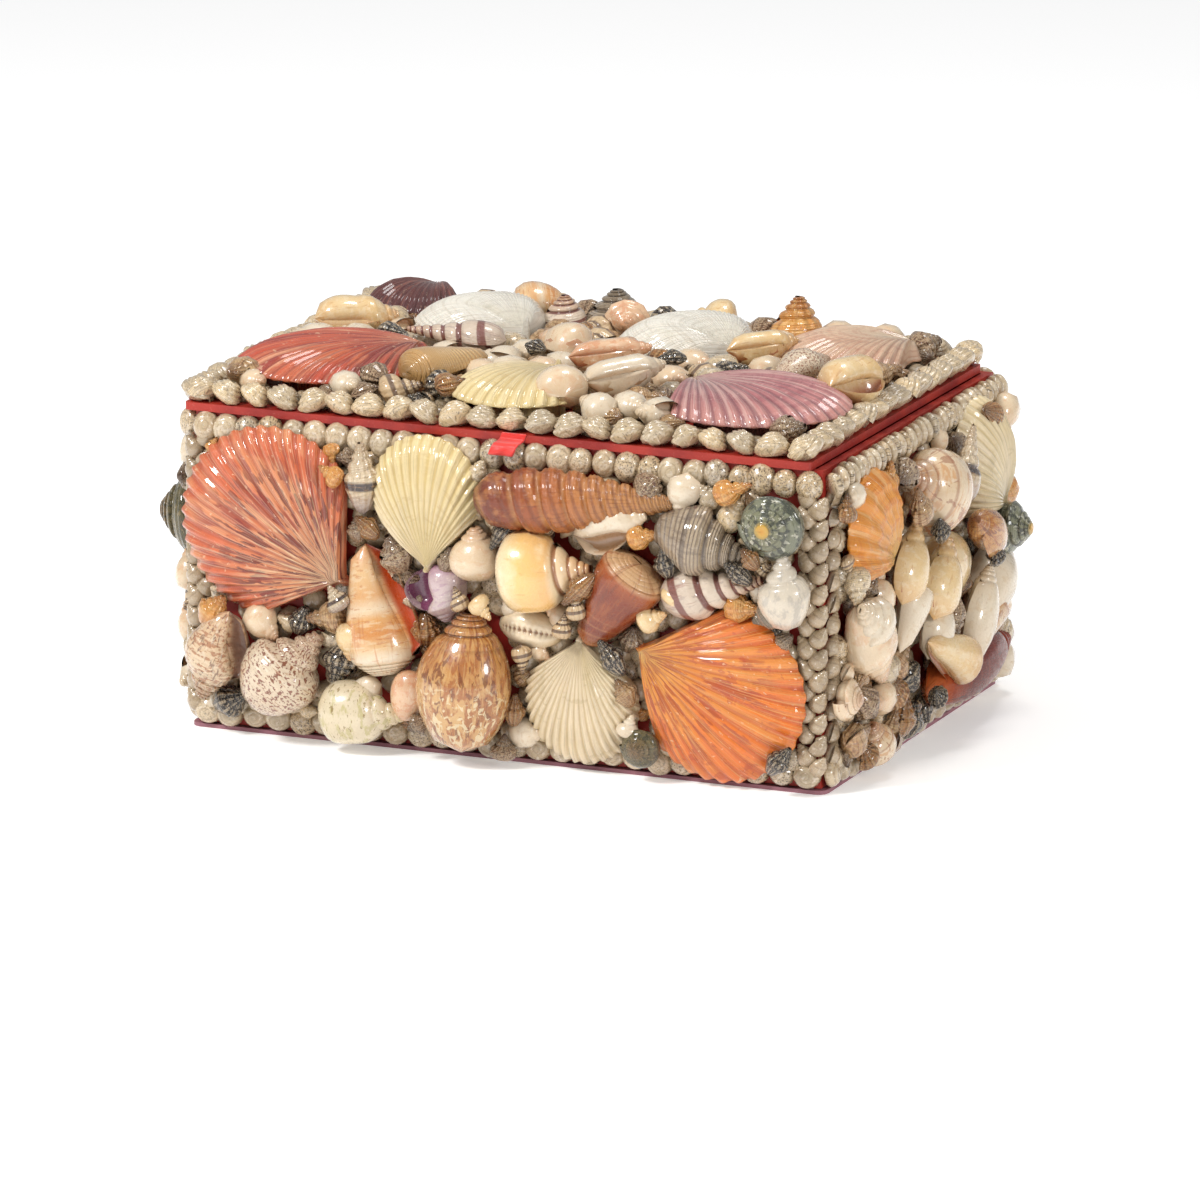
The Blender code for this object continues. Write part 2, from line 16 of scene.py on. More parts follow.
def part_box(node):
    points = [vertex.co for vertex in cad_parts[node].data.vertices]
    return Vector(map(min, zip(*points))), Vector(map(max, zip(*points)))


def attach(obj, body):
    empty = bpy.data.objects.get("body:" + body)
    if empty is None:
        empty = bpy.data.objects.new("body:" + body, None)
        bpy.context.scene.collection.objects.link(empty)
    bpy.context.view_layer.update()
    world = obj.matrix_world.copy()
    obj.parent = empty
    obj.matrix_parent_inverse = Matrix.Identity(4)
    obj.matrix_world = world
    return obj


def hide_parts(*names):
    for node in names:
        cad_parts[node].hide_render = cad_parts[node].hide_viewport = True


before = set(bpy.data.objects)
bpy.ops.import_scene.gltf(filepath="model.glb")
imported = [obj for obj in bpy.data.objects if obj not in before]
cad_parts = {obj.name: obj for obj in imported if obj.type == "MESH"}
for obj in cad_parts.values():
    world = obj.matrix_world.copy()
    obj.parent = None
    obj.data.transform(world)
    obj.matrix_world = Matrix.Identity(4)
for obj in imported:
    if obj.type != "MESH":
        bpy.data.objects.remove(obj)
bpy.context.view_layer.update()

MM = 0.001
TURN = 2 * math.pi

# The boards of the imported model, which every sheet is laid on
WALLS_LOW, WALLS_HIGH = (np.array(corner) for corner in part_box("box_walls"))
LID_LOW, LID_HIGH = (np.array(corner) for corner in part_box("lid_board"))
ON_BEADS = 6.6
ON_LID_BEADS = 8.6
ON_WALL = 0.3


class Face:
    """A covered side of the box, with the discs that its shells already take up."""

    def __init__(self, name, origin, along, up):
        self.name = name
        self.origin = np.array(origin, float)
        self.along = np.array(along, float)
        self.up = np.array(up, float)
        self.out = np.cross(self.along, self.up)
        self.taken = []

    def world(self, places):
        """World points of places on the sheet."""
        step = np.asarray(places, float) * MM
        return (
            self.origin
            + step[..., 0:1] * self.along
            + step[..., 1:2] * self.up
            + step[..., 2:3] * self.out
        )


FRONT = Face("front", (0, WALLS_LOW[1], 0), (1, 0, 0), (0, 0, 1))
RIGHT = Face("right", (WALLS_HIGH[0], 0, 0), (0, 1, 0), (0, 0, 1))
BACK = Face("back", (0, WALLS_HIGH[1], 0), (-1, 0, 0), (0, 0, 1))
LEFT = Face("left", (WALLS_LOW[0], 0, 0), (0, -1, 0), (0, 0, 1))
LID_MIDDLE = (LID_LOW + LID_HIGH) / 2
LID = Face("lid", (LID_MIDDLE[0], LID_MIDDLE[1], LID_HIGH[2]), (1, 0, 0), (0, 1, 0))


# Meshes from grids of points

WELD = 1e-7
VALUES = {"along": 0.0, "band": 0.5, "mouth": 0.0, "tint": 0.5}


class Skin:
    """Grids of points and their values, gathered and then made into one smooth mesh."""

    def __init__(self):
        self.points = []
        self.grain = []
        self.quads = []
        self.values = {key: [] for key in VALUES}
        self.count = 0

    def grid(self, points, grain, **values):
        """Adds a grid: points in metres, and the directions and values that its finish reads."""
        shape = points.shape[:2]
        index = np.arange(shape[0] * shape[1]).reshape(shape) + self.count
        corners = (index[:-1, :-1], index[:-1, 1:], index[1:, 1:], index[1:, :-1])
        self.quads.append(np.stack(corners, -1).reshape(-1, 4))
        self.points.append(points.reshape(-1, 3))
        self.grain.append(np.broadcast_to(grain, (*shape, 3)).reshape(-1, 3))
        for key, usual in VALUES.items():
            self.values[key].append(np.broadcast_to(values.get(key, usual), shape).ravel())
        self.count += index.size

    def make(self, name, look, slot, *nodes):
        """The piece itself: welded, facing out, dressed, and standing for its CAD nodes."""
        points = np.concatenate(self.points)
        whole = np.round(points / WELD).astype(np.int64)
        _, first, index = np.unique(whole, axis=0, return_index=True, return_inverse=True)
        corners = index.reshape(-1)[np.concatenate(self.quads)].tolist()
        faces = [list(dict.fromkeys(face)) for face in corners]
        mesh = bpy.data.meshes.new(name)
        mesh.from_pydata(points[first], [], [face for face in faces if len(face) > 2])
        for key, parts in self.values.items():
            layer = mesh.attributes.new(key, "FLOAT", "POINT")
            layer.data.foreach_set("value", np.concatenate(parts)[first].astype(np.float32))
        layer = mesh.attributes.new("grain", "FLOAT_VECTOR", "POINT")
        grain = np.concatenate(self.grain)[first].astype(np.float32)
        layer.data.foreach_set("vector", grain.ravel())
        bm = bmesh.new()
        bm.from_mesh(mesh)
        bmesh.ops.recalc_face_normals(bm, faces=bm.faces)
        bm.to_mesh(mesh)
        bm.free()
        mesh.shade_smooth()
        mesh.materials.append(material(look))
        piece = bpy.data.objects.new(name, mesh)
        bpy.context.scene.collection.objects.link(piece)
        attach(piece, "root")
        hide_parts(*nodes)
        return piece


def unit(vector):
    """The vector at length one."""
    return vector / np.linalg.norm(vector)


def wave(value):
    """0 at whole numbers and 1 half-way between them, smoothly."""
    return 0.5 - 0.5 * np.cos(TURN * value)


def tint_of(name):
    """A shell's own number from 0 to 1, the same each run."""
    return sum(ord(letter) * (3 + k) for k, letter in enumerate(name)) % 97 / 97


# Bivalve shells

EDGE = 0.8
FOOT_SHARE = 0.62
MARGIN_SWEEP = math.radians(118)
BEAK_HEIGHT = 0.55
CREST = 0.5
COLUMNS_PER_RIB = 6
FAN_ROWS = 19


def straight(start, end, count):
    """Points from start to end, both left out."""
    return start + np.linspace(0, 1, count + 2)[1:-1, None] * (end - start)


def fan_outline(beak, axis, centre, radius, ribs, ears, notch):
    """The outline as (points, side, disc share, rib): an ear, the margin, the other ear, the hinge."""
    across = np.array((-axis[1], axis[0]))
    side = np.linspace(-1, 1, ribs * COLUMNS_PER_RIB + 1)
    rib = wave(ribs * (side + 1) / 2)
    angle = side * MARGIN_SWEEP
    reach = radius * (1 - notch * (1 - rib))
    margin = centre + (reach * np.cos(angle))[:, None] * axis + (reach * np.sin(angle))[:, None] * across
    ear = ears * radius
    rise = 0.9 * ear * axis
    hinge_share = np.linspace(1, -1, 14)[1:-1]
    bow = 0.07 * radius * np.cos(hinge_share * math.pi / 2) ** 2
    hinge = beak + (hinge_share * ear)[:, None] * across - bow[:, None] * axis
    parts = (
        (straight(beak - across * ear, beak - across * ear + rise, 3), -1, 0),
        (straight(beak - across * ear + rise, margin[0], 4), -1, 0.3),
        (margin, side, 1),
        (straight(margin[-1], beak + across * ear + rise, 4), 1, 0.3),
        (straight(beak + across * ear + rise, beak + across * ear, 3), 1, 0),
        (hinge, hinge_share, 0),
    )
    points = np.concatenate([spots for spots, _, _ in parts])
    sides = np.concatenate([spots[:, 0] * 0 + where for spots, where, _ in parts])
    disc = np.concatenate([spots[:, 0] * 0 + share for spots, _, share in parts])
    crests = np.where(disc == 1, 0.0, 0.5)
    crests[disc == 1] = rib
    return tuple(np.concatenate([line, line[:1]]) for line in (points, sides, disc, crests))


def fan(skin, face, beak, centre, radius, dome, ribs, ears, lift, relief, notch, ledges, wing, tint):
    """A domed half shell with ribs from its beak to its margin, on a narrower foot of glue."""
    beak = np.array(beak, float)
    centre = np.array(centre, float)
    axis = unit(centre - beak)
    outline, side, disc, rib = fan_outline(beak, axis, centre, radius, ribs, ears, notch)
    start = beak + axis * 0.06 * radius
    disc = np.maximum(disc, wing)
    t = (np.linspace(0, 1, FAN_ROWS) ** 0.9)[:, None]
    rising = BEAK_HEIGHT + (1 - BEAK_HEIGHT) * np.sin(np.minimum(t / CREST, 1) * math.pi / 2)
    falling = (1 - np.clip((t - CREST) / (1 - CREST), 0, 1) ** 2.2) ** 0.75
    domed = rising * falling * (1 - t * 0.7 * np.abs(side) ** 5)
    low = BEAK_HEIGHT * (1 - t**2) ** 1.5
    flat = start + t[..., None] * (outline - start)[None]
    out = lift + EDGE + dome * (domed * disc + low * (1 - disc))
    out = out + relief * t**0.8 * (rib - 0.5) * (1 - 0.5 * np.abs(side) ** 8)
    out = out + 0.12 * relief * np.sin(t * 31) * t * disc
    if ledges:
        out = out + 0.9 * (1 - (t * ledges) % 1.0) * t * disc * (t < 0.97)
    grain = np.stack(np.broadcast_arrays(side * (1 + 0 * t), t + 0 * side, 0 * t * side), -1)
    shown = np.minimum(1, 3 * t)
    band = rib * shown + 0.5 * (1 - shown)
    top = face.world(np.concatenate([flat, out[..., None]], -1))
    skin.grid(top, grain, along=t, band=band, tint=tint)
    middle = beak + 0.75 * (centre - beak)
    under = [(outline, out[-1])]
    for reach, level in ((1.0, lift), (0.9, lift), (FOOT_SHARE, lift), (FOOT_SHARE, 0.0)):
        under.append((middle + reach * (outline - middle), level + 0 * side))
    rows = np.stack([np.concatenate([spot, w[:, None]], -1) for spot, w in under])
    skin.grid(face.world(rows), grain[-1:], along=1.0, band=0.5, mouth=0.6, tint=tint)
    face.taken.append((*centre, radius * 0.95))
    face.taken.append((*(beak + 0.4 * (centre - beak)), radius * 0.45))


# Coiled shells

# Outline: (share of the length from the tip, share of the greatest radius)
OUTLINES = {
    "turret": ((0, 0.05), (0.86, 1), (0.95, 0.8), (1, 0.4)),
    "whelk": ((0, 0.05), (0.3, 0.6), (0.52, 1), (0.78, 0.76), (1, 0.3)),
    "moon": ((0, 0.1), (0.2, 0.5), (0.5, 1), (0.8, 0.98), (1, 0.5)),
    "cone": ((0, 0.12), (0.12, 0.96), (0.17, 1.0), (0.5, 0.82), (1, 0.33)),
    "volute": ((0, 0.1), (0.15, 0.5), (0.42, 1), (0.75, 0.92), (1, 0.45)),
    "conch": ((0, 0.3), (0.14, 0.9), (0.25, 1), (0.6, 0.84), (1, 0.46)),
    "frog": ((0, 0.05), (0.26, 0.4), (0.5, 0.92), (0.64, 1), (0.86, 0.72), (1, 0.34)),
    "tun": ((0, 0.06), (0.3, 0.44), (0.46, 0.8), (0.7, 1), (0.9, 0.82), (1, 0.4)),
    "turban": ((0, 0.08), (0.3, 0.66), (0.62, 1), (0.85, 0.9), (1, 0.5)),
    "spire": ((0, 0.04), (0.4, 0.55), (0.7, 1), (0.9, 0.85), (1, 0.45)),
    "trochid": ((0, 0.14), (0.3, 0.66), (0.6, 1), (0.85, 0.9), (1, 0.5)),
}
SUTURE_WIDTH = 0.1
KNOBS = 9


class Form(NamedTuple):
    """A kind of coiled shell: its coil, its mouth and its relief, as shares of its radius."""

    outline: str
    last: float
    growth: float
    turns: int
    gape: float = 0.55
    suture: float = 0.1
    bulge: float = 0.1
    cords: int = 0
    cord: float = 0.0
    ribs: int = 0
    rib: float = 0.0
    knobs: float = 0.0
    lip: float = 0.06
    split: float = 4.0

    def radius(self, place):
        """The smooth outline through its points, as a share of the greatest radius."""
        places, values = np.array(OUTLINES[self.outline]).T
        slopes = np.gradient(values, places)
        k = np.clip(np.searchsorted(places, place) - 1, 0, len(places) - 2)
        width = places[k + 1] - places[k]
        t = (place - places[k]) / width
        rise = values[k + 1] - values[k]
        bend = slopes[k] * (t - 2 * t**2 + t**3) + slopes[k + 1] * (t**3 - t**2)
        return np.maximum(0.01, values[k] + rise * (3 * t**2 - 2 * t**3) + width * bend)

    def relief(self, across, angle, step):
        """The share of the radius at a place across the whorl, where whole numbers are sutures."""
        coiled = np.clip((across + 0.55) * 4, 0, 1)
        near = np.abs(across - np.round(across))
        suture = self.suture * np.exp(-((near / SUTURE_WIDTH) ** 2))
        bulge = self.bulge * np.cos(math.pi * across) ** 2
        share = 1 - coiled * (suture + bulge)
        share = share + self.cord * np.cos(TURN * self.cords * across)
        crest = wave(self.ribs * angle / TURN) ** 1.5 * np.clip((across + 1.3) * 2, 0, 1)
        share = share + self.rib * (crest - 0.4)
        shoulder = np.exp(-(((across - np.floor(across)) - 0.7) / 0.16) ** 2) * (across > -1)
        share = share + self.knobs * shoulder * (0.3 + wave(KNOBS * angle / TURN) ** 2)
        edge = np.exp(-step / 0.05) * np.clip(-across * 4, 0, 1)
        return share + self.lip * edge


FORMS = {
    "turret": Form("turret", 0.86, 1.19, 12, 0.5, 0.1, 0.06, 5, 0.014),
    "whelk": Form("whelk", 0.46, 1.5, 5, 0.55, 0.1, 0.1, 3, 0.012, 11, 0.05, 0.06),
    "grey": Form("whelk", 0.46, 1.5, 5, 0.55, 0.08, 0.08, 4, 0.012, 0, 0.0, 0.07),
    "frog": Form("frog", 0.44, 1.5, 5, 0.55, 0.12, 0.12, 4, 0.012, 9, 0.02, 0.03, 0.04),
    "helmet": Form("whelk", 0.36, 1.5, 5, 0.8, 0.1, 0.08, 4, 0.012, 9, 0.03, 0.08, 0.12, 2.0),
    "ribbed": Form("whelk", 0.5, 1.5, 5, 0.5, 0.12, 0.12, 0, 0.0, 11, 0.07),
    "moon": Form("moon", 0.3, 1.75, 4, 0.6, 0.07, 0.07),
    "wide": Form("moon", 0.26, 1.8, 4, 0.85, 0.07, 0.07, 0, 0.0, 0, 0.0, 0.0, 0.1),
    "tun": Form("tun", 0.42, 1.42, 5, 0.6, 0.09, 0.08),
    "snail": Form("spire", 0.5, 1.5, 5, 0.6, 0.16, 0.13),
    "trochid": Form("trochid", 0.6, 1.5, 4, 0.5, 0.07, 0.06),
    "cone": Form("cone", 0.14, 1.35, 6, 0.35, 0.06, 0.03, 0, 0.0, 0, 0.0, 0.0, 0.03),
    "lipped": Form("conch", 0.14, 1.35, 6, 0.8, 0.06, 0.03, 0, 0.0, 0, 0.0, 0.0, 0.25, 1.3),
    "volute": Form("volute", 0.2, 1.5, 5, 0.45, 0.12, 0.08),
    "turban": Form("turban", 0.42, 1.6, 5, 0.55, 0.12, 0.1, 3, 0.014),
    "spire": Form("spire", 0.62, 1.35, 7, 0.5, 0.14, 0.1),
    "swollen": Form("spire", 0.66, 1.34, 7, 0.5, 0.16, 0.16, 0, 0.0, 9, 0.03),
}
LONG = (20, 34)
FINE = (13, 38)
MIDDLE = (7, 20)
BEAD = (5, 14)
SMALL = (4, 10)
BASE_ROWS = {LONG: 9, FINE: 8, MIDDLE: 5, BEAD: 3, SMALL: 3}
BOWL_ROWS = {LONG: (13, 9), FINE: (13, 9), MIDDLE: (8, 6), BEAD: (4, 4), SMALL: (4, 4)}


def coil(skin, face, form, tip, base, width, roll=0, detail=FINE, flat=0.85, tint=0.5, hand=1):
    """A coiled shell: one strip that winds from the mouth up to the tip, its base and its mouth."""
    kind = FORMS[form]
    steps, sides = detail
    turns = min(kind.turns, 4) if detail == SMALL else kind.turns
    tip = np.array(tip, float)
    base = np.array(base, float)
    axis = unit(tip - base)
    view = np.array((0.0, 0.0, 1.0)) if abs(axis[2]) < 0.9 else np.array((0.0, 1.0, 0.0))
    front = unit(view - axis * (view @ axis))
    side = np.cross(axis, front)
    turned = math.radians(roll)
    side, front = (
        side * math.cos(turned) + np.cross(axis, side) * math.sin(turned),
        front * math.cos(turned) + np.cross(axis, front) * math.sin(turned),
    )

    def points(place, angle, share):
        radius = (width / 2 * kind.radius(place) * share)[..., None]
        off = radius * (np.cos(angle)[..., None] * side - hand * np.sin(angle)[..., None] * front)
        off[..., 2] *= flat
        return tip + place[..., None] * (base - tip) + off

    def grain(place, angle):
        return np.stack([np.cos(angle), np.sin(angle), 3 * place], -1)

    step = np.arange(sides + 1)[None] / sides
    across = np.arange(steps * turns + 1)[:, None] / steps - 1.0
    place = kind.last * kind.growth ** -(across + step)
    angle = TURN * step + 0 * across
    strip = points(place, angle, kind.relief(across + 0 * step, angle, step))
    skin.grid(face.world(strip), grain(place, angle), along=place, band=wave(across), tint=tint)
    crown = points(place[-1:], angle[-1:], 0.01 + 0 * place[-1:])
    crown_rows = np.concatenate([strip[-1:], crown])
    skin.grid(face.world(crown_rows), grain(place[-1:], angle[-1:]), along=0.0, band=0.0, tint=tint)

    rows = BASE_ROWS[detail]
    down = np.arange(rows + 1)[:, None] / rows
    start = kind.last * kind.growth ** (1 - step)
    place = start + (1 - start) * np.minimum(down, 0.995)
    angle = TURN * step + 0 * down
    level = -np.log(place / kind.last) / math.log(kind.growth) - step
    hollow = 1 - kind.gape * np.minimum(1, down * kind.split) * step**3
    close = np.where(down < 1, 1.0, 0.02)
    share = kind.relief(level, angle, step) * hollow * close
    floor = points(place, angle, share)
    skin.grid(face.world(floor), grain(place, angle), along=place, band=wave(level), tint=tint)

    lip_place = np.concatenate([kind.last * kind.growth ** -across[steps::-1, 0], place[1:, 0]])
    lip = np.concatenate([strip[steps::-1, 0], floor[1:, 0]])
    inner_place = place[:, -1]
    inner = floor[:, -1]
    lines, columns = BOWL_ROWS[detail]
    spots = np.linspace(kind.last, lip_place[-1], lines)
    outer_line = np.stack([np.interp(spots, lip_place, lip[:, k]) for k in range(3)], -1)
    inner_line = np.stack([np.interp(spots, inner_place, inner[:, k]) for k in range(3)], -1)
    t = np.linspace(0, 1, columns)[None, :, None]
    gap = np.linalg.norm(outer_line - inner_line, axis=1)[:, None, None]
    sink = np.minimum(0.8 * gap, 0.3 * width) * (4 * t * (1 - t)) ** 0.6
    bowl = outer_line[:, None] * (1 - t) + inner_line[:, None] * t - hand * sink * front * (1, 1, flat)
    inside = np.clip(4 * t[..., 0] * (1 - t[..., 0]) * 3, 0, 1)
    spots, columns = spots[:, None], t[0, :, 0]
    directions = grain(spots + 0 * columns, 0 * spots + 2 * columns)
    skin.grid(face.world(bowl), directions, along=spots, mouth=inside, band=0.5, tint=tint)
    for spot in (0.15, 0.35, 0.55, 0.75, 0.92):
        middle = tip + spot * (base - tip)
        face.taken.append((middle[0], middle[1], width / 2 * float(kind.radius(np.array(spot)))))


SLIT_WIDTH = 0.24
TEETH = 34


def egg(skin, face, centre, size, turn=0, lift=ON_WALL, slit=0.0, point=0.0, detail=(28, 36), tint=0.5):
    """A smooth rounded shell. A slit with teeth opens along its outer side, as on a cowrie."""
    length, width, height = size
    around = np.linspace(0, TURN, detail[1] + 1)[None]
    line = np.linspace(0, math.pi, detail[0] + 1)[:, None]
    taper = 1 - point * np.cos(line)
    round_share = np.sin(line) ** 0.9 * taper
    off_slit = np.angle(np.exp(1j * (around - math.pi / 2)))
    opening = np.exp(-((off_slit / SLIT_WIDTH) ** 2)) * np.sin(line) ** 0.5
    teeth = 1 + 0.3 * np.cos(line * TEETH)
    share = round_share * (1 - slit * opening * teeth)
    x = -np.cos(line) * length / 2 + 0 * around
    y = share * np.cos(around) * width / 2
    z = share * np.sin(around) * height / 2
    angle = math.radians(turn)
    u = centre[0] + x * math.cos(angle) - y * math.sin(angle)
    v = centre[1] + x * math.sin(angle) + y * math.cos(angle)
    place = line / math.pi + 0 * around
    grain = np.stack([np.cos(around) + 0 * line, np.sin(around) + 0 * line, 3 * place], -1)
    mouth = np.clip(opening * 2.4 * teeth - 1.3, 0, 1) * (slit > 0)
    spots = face.world(np.stack([u, v, lift + height / 2 + z], -1))
    skin.grid(spots, grain, along=place, band=0.5, mouth=mouth, tint=tint)
    for k in (-0.25, 0, 0.25):
        spot = (centre[0] + k * length * math.cos(angle), centre[1] + k * length * math.sin(angle))
        face.taken.append((*spot, width * 0.45))


# Button shells

BUTTON_TURNS = 2.8
BUTTON_FOOT = 0.35


def button(skin, face, centre, size, rise, turn, tilt, tint, detail=(9, 18)):
    """A low round snail seen on its spire. The tilt leans it along and up the sheet, in degrees."""
    around = np.linspace(0, TURN, detail[1] + 1)[None]
    share = np.linspace(0, 1, detail[0] + 1)[:, None]
    swirl = share**0.8 * BUTTON_TURNS - around / TURN
    band = wave(swirl) * (share < 0.99) + 0.5 * (share >= 0.99)
    dome = (1 - share**2.6) ** 0.6 + 0.11 * (band - 0.5) * (1 - share**2)
    egg_share = 1 + 0.1 * np.cos(around - 0.6)
    u = share * egg_share * np.cos(around + turn) * size[0] / 2
    v = share * egg_share * np.sin(around + turn) * size[1] / 2
    w = dome * rise + 0 * around
    top = np.stack([u, v, w], -1)
    edge, bottom = top[-1:], (0, 0, -BUTTON_FOOT * rise)
    foot = np.concatenate([edge, edge * (0.9, 0.9, 0) + bottom, edge * 0 + bottom])
    lean_along, lean_up = (math.radians(part) for part in tilt)
    lean = np.array(Matrix.Rotation(lean_along, 3, "Y") @ Matrix.Rotation(lean_up, 3, "X"))
    grain = np.stack([np.cos(around) * share, np.sin(around) * share, 0 * share * around], -1)
    skin.grid(face.world(top @ lean.T + centre), grain, along=share, band=band, tint=tint)
    skin.grid(face.world(foot @ lean.T + centre), grain[-1:], along=1.0, band=0.5, tint=tint)


# Finishes


def linear(colour):
    """A colour from 0 to 255 as the eye sees it, in the shader's own numbers."""
    share = np.array(colour) / 255
    return (*np.where(share < 0.04045, share / 12.92, ((share + 0.055) / 1.055) ** 2.4).tolist(), 1.0)


def add(tree, kind, inputs=(), **settings):
    """A shader node. Inputs that are sockets are linked, and the rest are set."""
    made = tree.nodes.new("ShaderNode" + kind)
    for key, value in settings.items():
        setattr(made, key, value)
    for key, value in dict(inputs).items():
        if isinstance(value, bpy.types.NodeSocket):
            tree.links.new(value, made.inputs[key])
        else:
            made.inputs[key].default_value = value
    return made


def value_of(tree, name):
    """The shell's own value of that name."""
    return add(tree, "Attribute", attribute_name=name).outputs["Fac"]


USUAL_GROWTH = 1.5


def ramp(tree, value, stops):
    """Colours along a value from 0 to 1."""
    made = add(tree, "ValToRGB", {"Fac": value})
    line = made.color_ramp
    for k, (place, colour) in enumerate(stops):
        spot = line.elements[k] if k < 2 else line.elements.new(place)
        spot.position = place
        spot.color = linear(colour)
    return made.outputs["Color"]


def mask(tree, value, low, high, top=1.0):
    """0 below low and top above high, smoothly. Low above high turns it round."""
    ends = {"From Min": min(low, high), "From Max": max(low, high)}
    ends["To Min"], ends["To Max"] = (0.0, top) if low < high else (top, 0.0)
    made = add(tree, "MapRange", {"Value": value, **ends}, interpolation_type="SMOOTHSTEP")
    return made.outputs["Result"]


def calc(tree, operation, *values):
    """One sum on values: ADD, MULTIPLY, SINE and so on."""
    return add(tree, "Math", dict(enumerate(values)), operation=operation).outputs[0]


def times(tree, a, b):
    """The product of two values."""
    return calc(tree, "MULTIPLY", a, b)


def grain_of(tree):
    """The shell's own directions."""
    return add(tree, "Attribute", attribute_name="grain").outputs["Vector"]


def noise(tree, scale, detail=3.0, warp=0.0):
    """Noise stretched over the shell's own directions, different on each shell."""
    shift = times(tree, value_of(tree, "tint"), 31.0)
    spot = {0: grain_of(tree), 1: scale, 2: shift}
    spot = add(tree, "VectorMath", spot, operation="MULTIPLY_ADD").outputs[0]
    kind = {"Scale": 1.0, "Detail": detail, "Roughness": 0.55, "Distortion": warp}
    return add(tree, "TexNoise", {"Vector": spot, **kind}).outputs["Fac"]


def ridges(tree, ribs, cords):
    """A wave from 0 to 1: so many ribs around a coiled shell, and so many cords across a whorl."""
    parts = add(tree, "SeparateXYZ", {0: grain_of(tree)}).outputs
    angle = calc(tree, "ARCTAN2", parts["Y"], parts["X"])
    phase = times(tree, angle, float(ribs + cords))
    if cords:
        level = calc(tree, "LOGARITHM", value_of(tree, "along"), math.e)
        level = times(tree, level, TURN * cords / math.log(USUAL_GROWTH))
        phase = calc(tree, "ADD", phase, level)
    return calc(tree, "MULTIPLY_ADD", calc(tree, "SINE", phase), 0.5, 0.5)


def pattern(tree, kind, warp=0.0):
    """The band across a rib or whorl (None), a wave of ridges, or noise at a scale."""
    if kind is None:
        return value_of(tree, "band")
    if kind[0] == "ribs":
        return ridges(tree, kind[1], 0)
    if kind[0] == "cords":
        return ridges(tree, 0, kind[1])
    return noise(tree, kind, warp=warp)


def mix(tree, factor, under, over):
    """One colour over another."""
    made = add(tree, "Mix", {0: factor, 6: under, 7: over}, data_type="RGBA")
    return made.outputs[2]


# The warm light of the photograph, as a share of each colour, and the looks with a share of their own
WARM = (0.9, 0.8, 0.67)
OWN_WARM = {
    "clam": (1.0, 0.98, 0.93),
    "tan_moon": (1.0, 0.97, 0.93),
    "mauve": (0.92, 0.87, 0.83),
    "pearls": (0.7, 0.6, 0.5),
    "beads": (0.84, 0.75, 0.64),
    "turret": (0.74, 0.66, 0.5),
    "brown_cone": (0.78, 0.66, 0.47),
    "flame": (0.82, 0.73, 0.54),
}


def new_material(name):
    """A material, its node tree and its surface."""
    made = bpy.data.materials.new(name)
    made.use_nodes = True
    return made, made.node_tree, made.node_tree.nodes["Principled BSDF"]


def bumped(tree, surface, height, strength, distance):
    """Gives a surface the low relief of that height."""
    bump = add(tree, "Bump", {"Height": height, "Strength": strength, "Distance": distance})
    tree.links.new(bump.outputs["Normal"], surface.inputs["Normal"])


class Look(NamedTuple):
    """A finish: colours along the shell, then layers of (scale, low, high, colour, strength, where)."""

    stops: tuple
    layers: tuple = ()
    mouth: tuple = None
    bumps: tuple = ()
    by: str = "along"
    rough: float = 0.4
    coat: float = 0.8
    depth: float = 0.25
    warp: float = 0.0
    shine: float = 0.5

    def build(self, name):
        """The material of this finish."""
        made, tree, surface = new_material(name)
        colour = ramp(tree, value_of(tree, self.by), self.stops)
        for kind, low, high, paint, strength, *where in self.layers:
            amount = mask(tree, pattern(tree, kind, self.warp), low, high, strength)
            for name_of, start, end in where:
                amount = times(tree, amount, mask(tree, value_of(tree, name_of), start, end))
            colour = mix(tree, amount, colour, linear(paint))
        if self.mouth:
            inside = mask(tree, value_of(tree, "mouth"), 0.0, 1.0)
            colour = mix(tree, inside, colour, linear(self.mouth))
        mottle = noise(tree, (7, 7, 9), 6.0)
        shade = mask(tree, mottle, 0.35, 0.75, 0.10)
        colour = mix(tree, shade, colour, linear((120, 95, 80)))
        warm = (*OWN_WARM.get(name, WARM), 1.0)
        warm = {0: 1.0, 6: colour, 7: warm}
        warmed = add(tree, "Mix", warm, data_type="RGBA", blend_type="MULTIPLY")
        tree.links.new(warmed.outputs[2], surface.inputs["Base Color"])
        rough = calc(tree, "ADD", mask(tree, mottle, 0.3, 0.7, 0.18), self.rough - 0.09)
        tree.links.new(rough, surface.inputs["Roughness"])
        surface.inputs["Coat Weight"].default_value = self.coat
        surface.inputs["Specular IOR Level"].default_value = self.shine
        surface.inputs["Coat Roughness"].default_value = 0.06
        surface.inputs["Subsurface Weight"].default_value = 0.03
        surface.inputs["Subsurface Radius"].default_value = (0.003, 0.0018, 0.0012)
        height = mottle
        for kind, strength in self.bumps:
            part = times(tree, pattern(tree, kind), strength)
            height = calc(tree, "ADD", height, part)
        bumped(tree, surface, height, self.depth, 0.001)
        return made


RAYS = (14, 1.2, 1)
FINE_RAYS = (30, 1.5, 1)
RIBLETS = ((110, 2.0, 1), 1.6)
GROWTH = ((1.5, 70, 1), 0.7)
FAN_BUMPS = (RIBLETS, GROWTH)
WRINKLES = ((22, 22, 4), 0.5)
FINE_CORDS = (("cords", 5), 0.7)
STRONG_RIBS = (("ribs", 12), 2.2)
SPOT = (9, 9, 9)


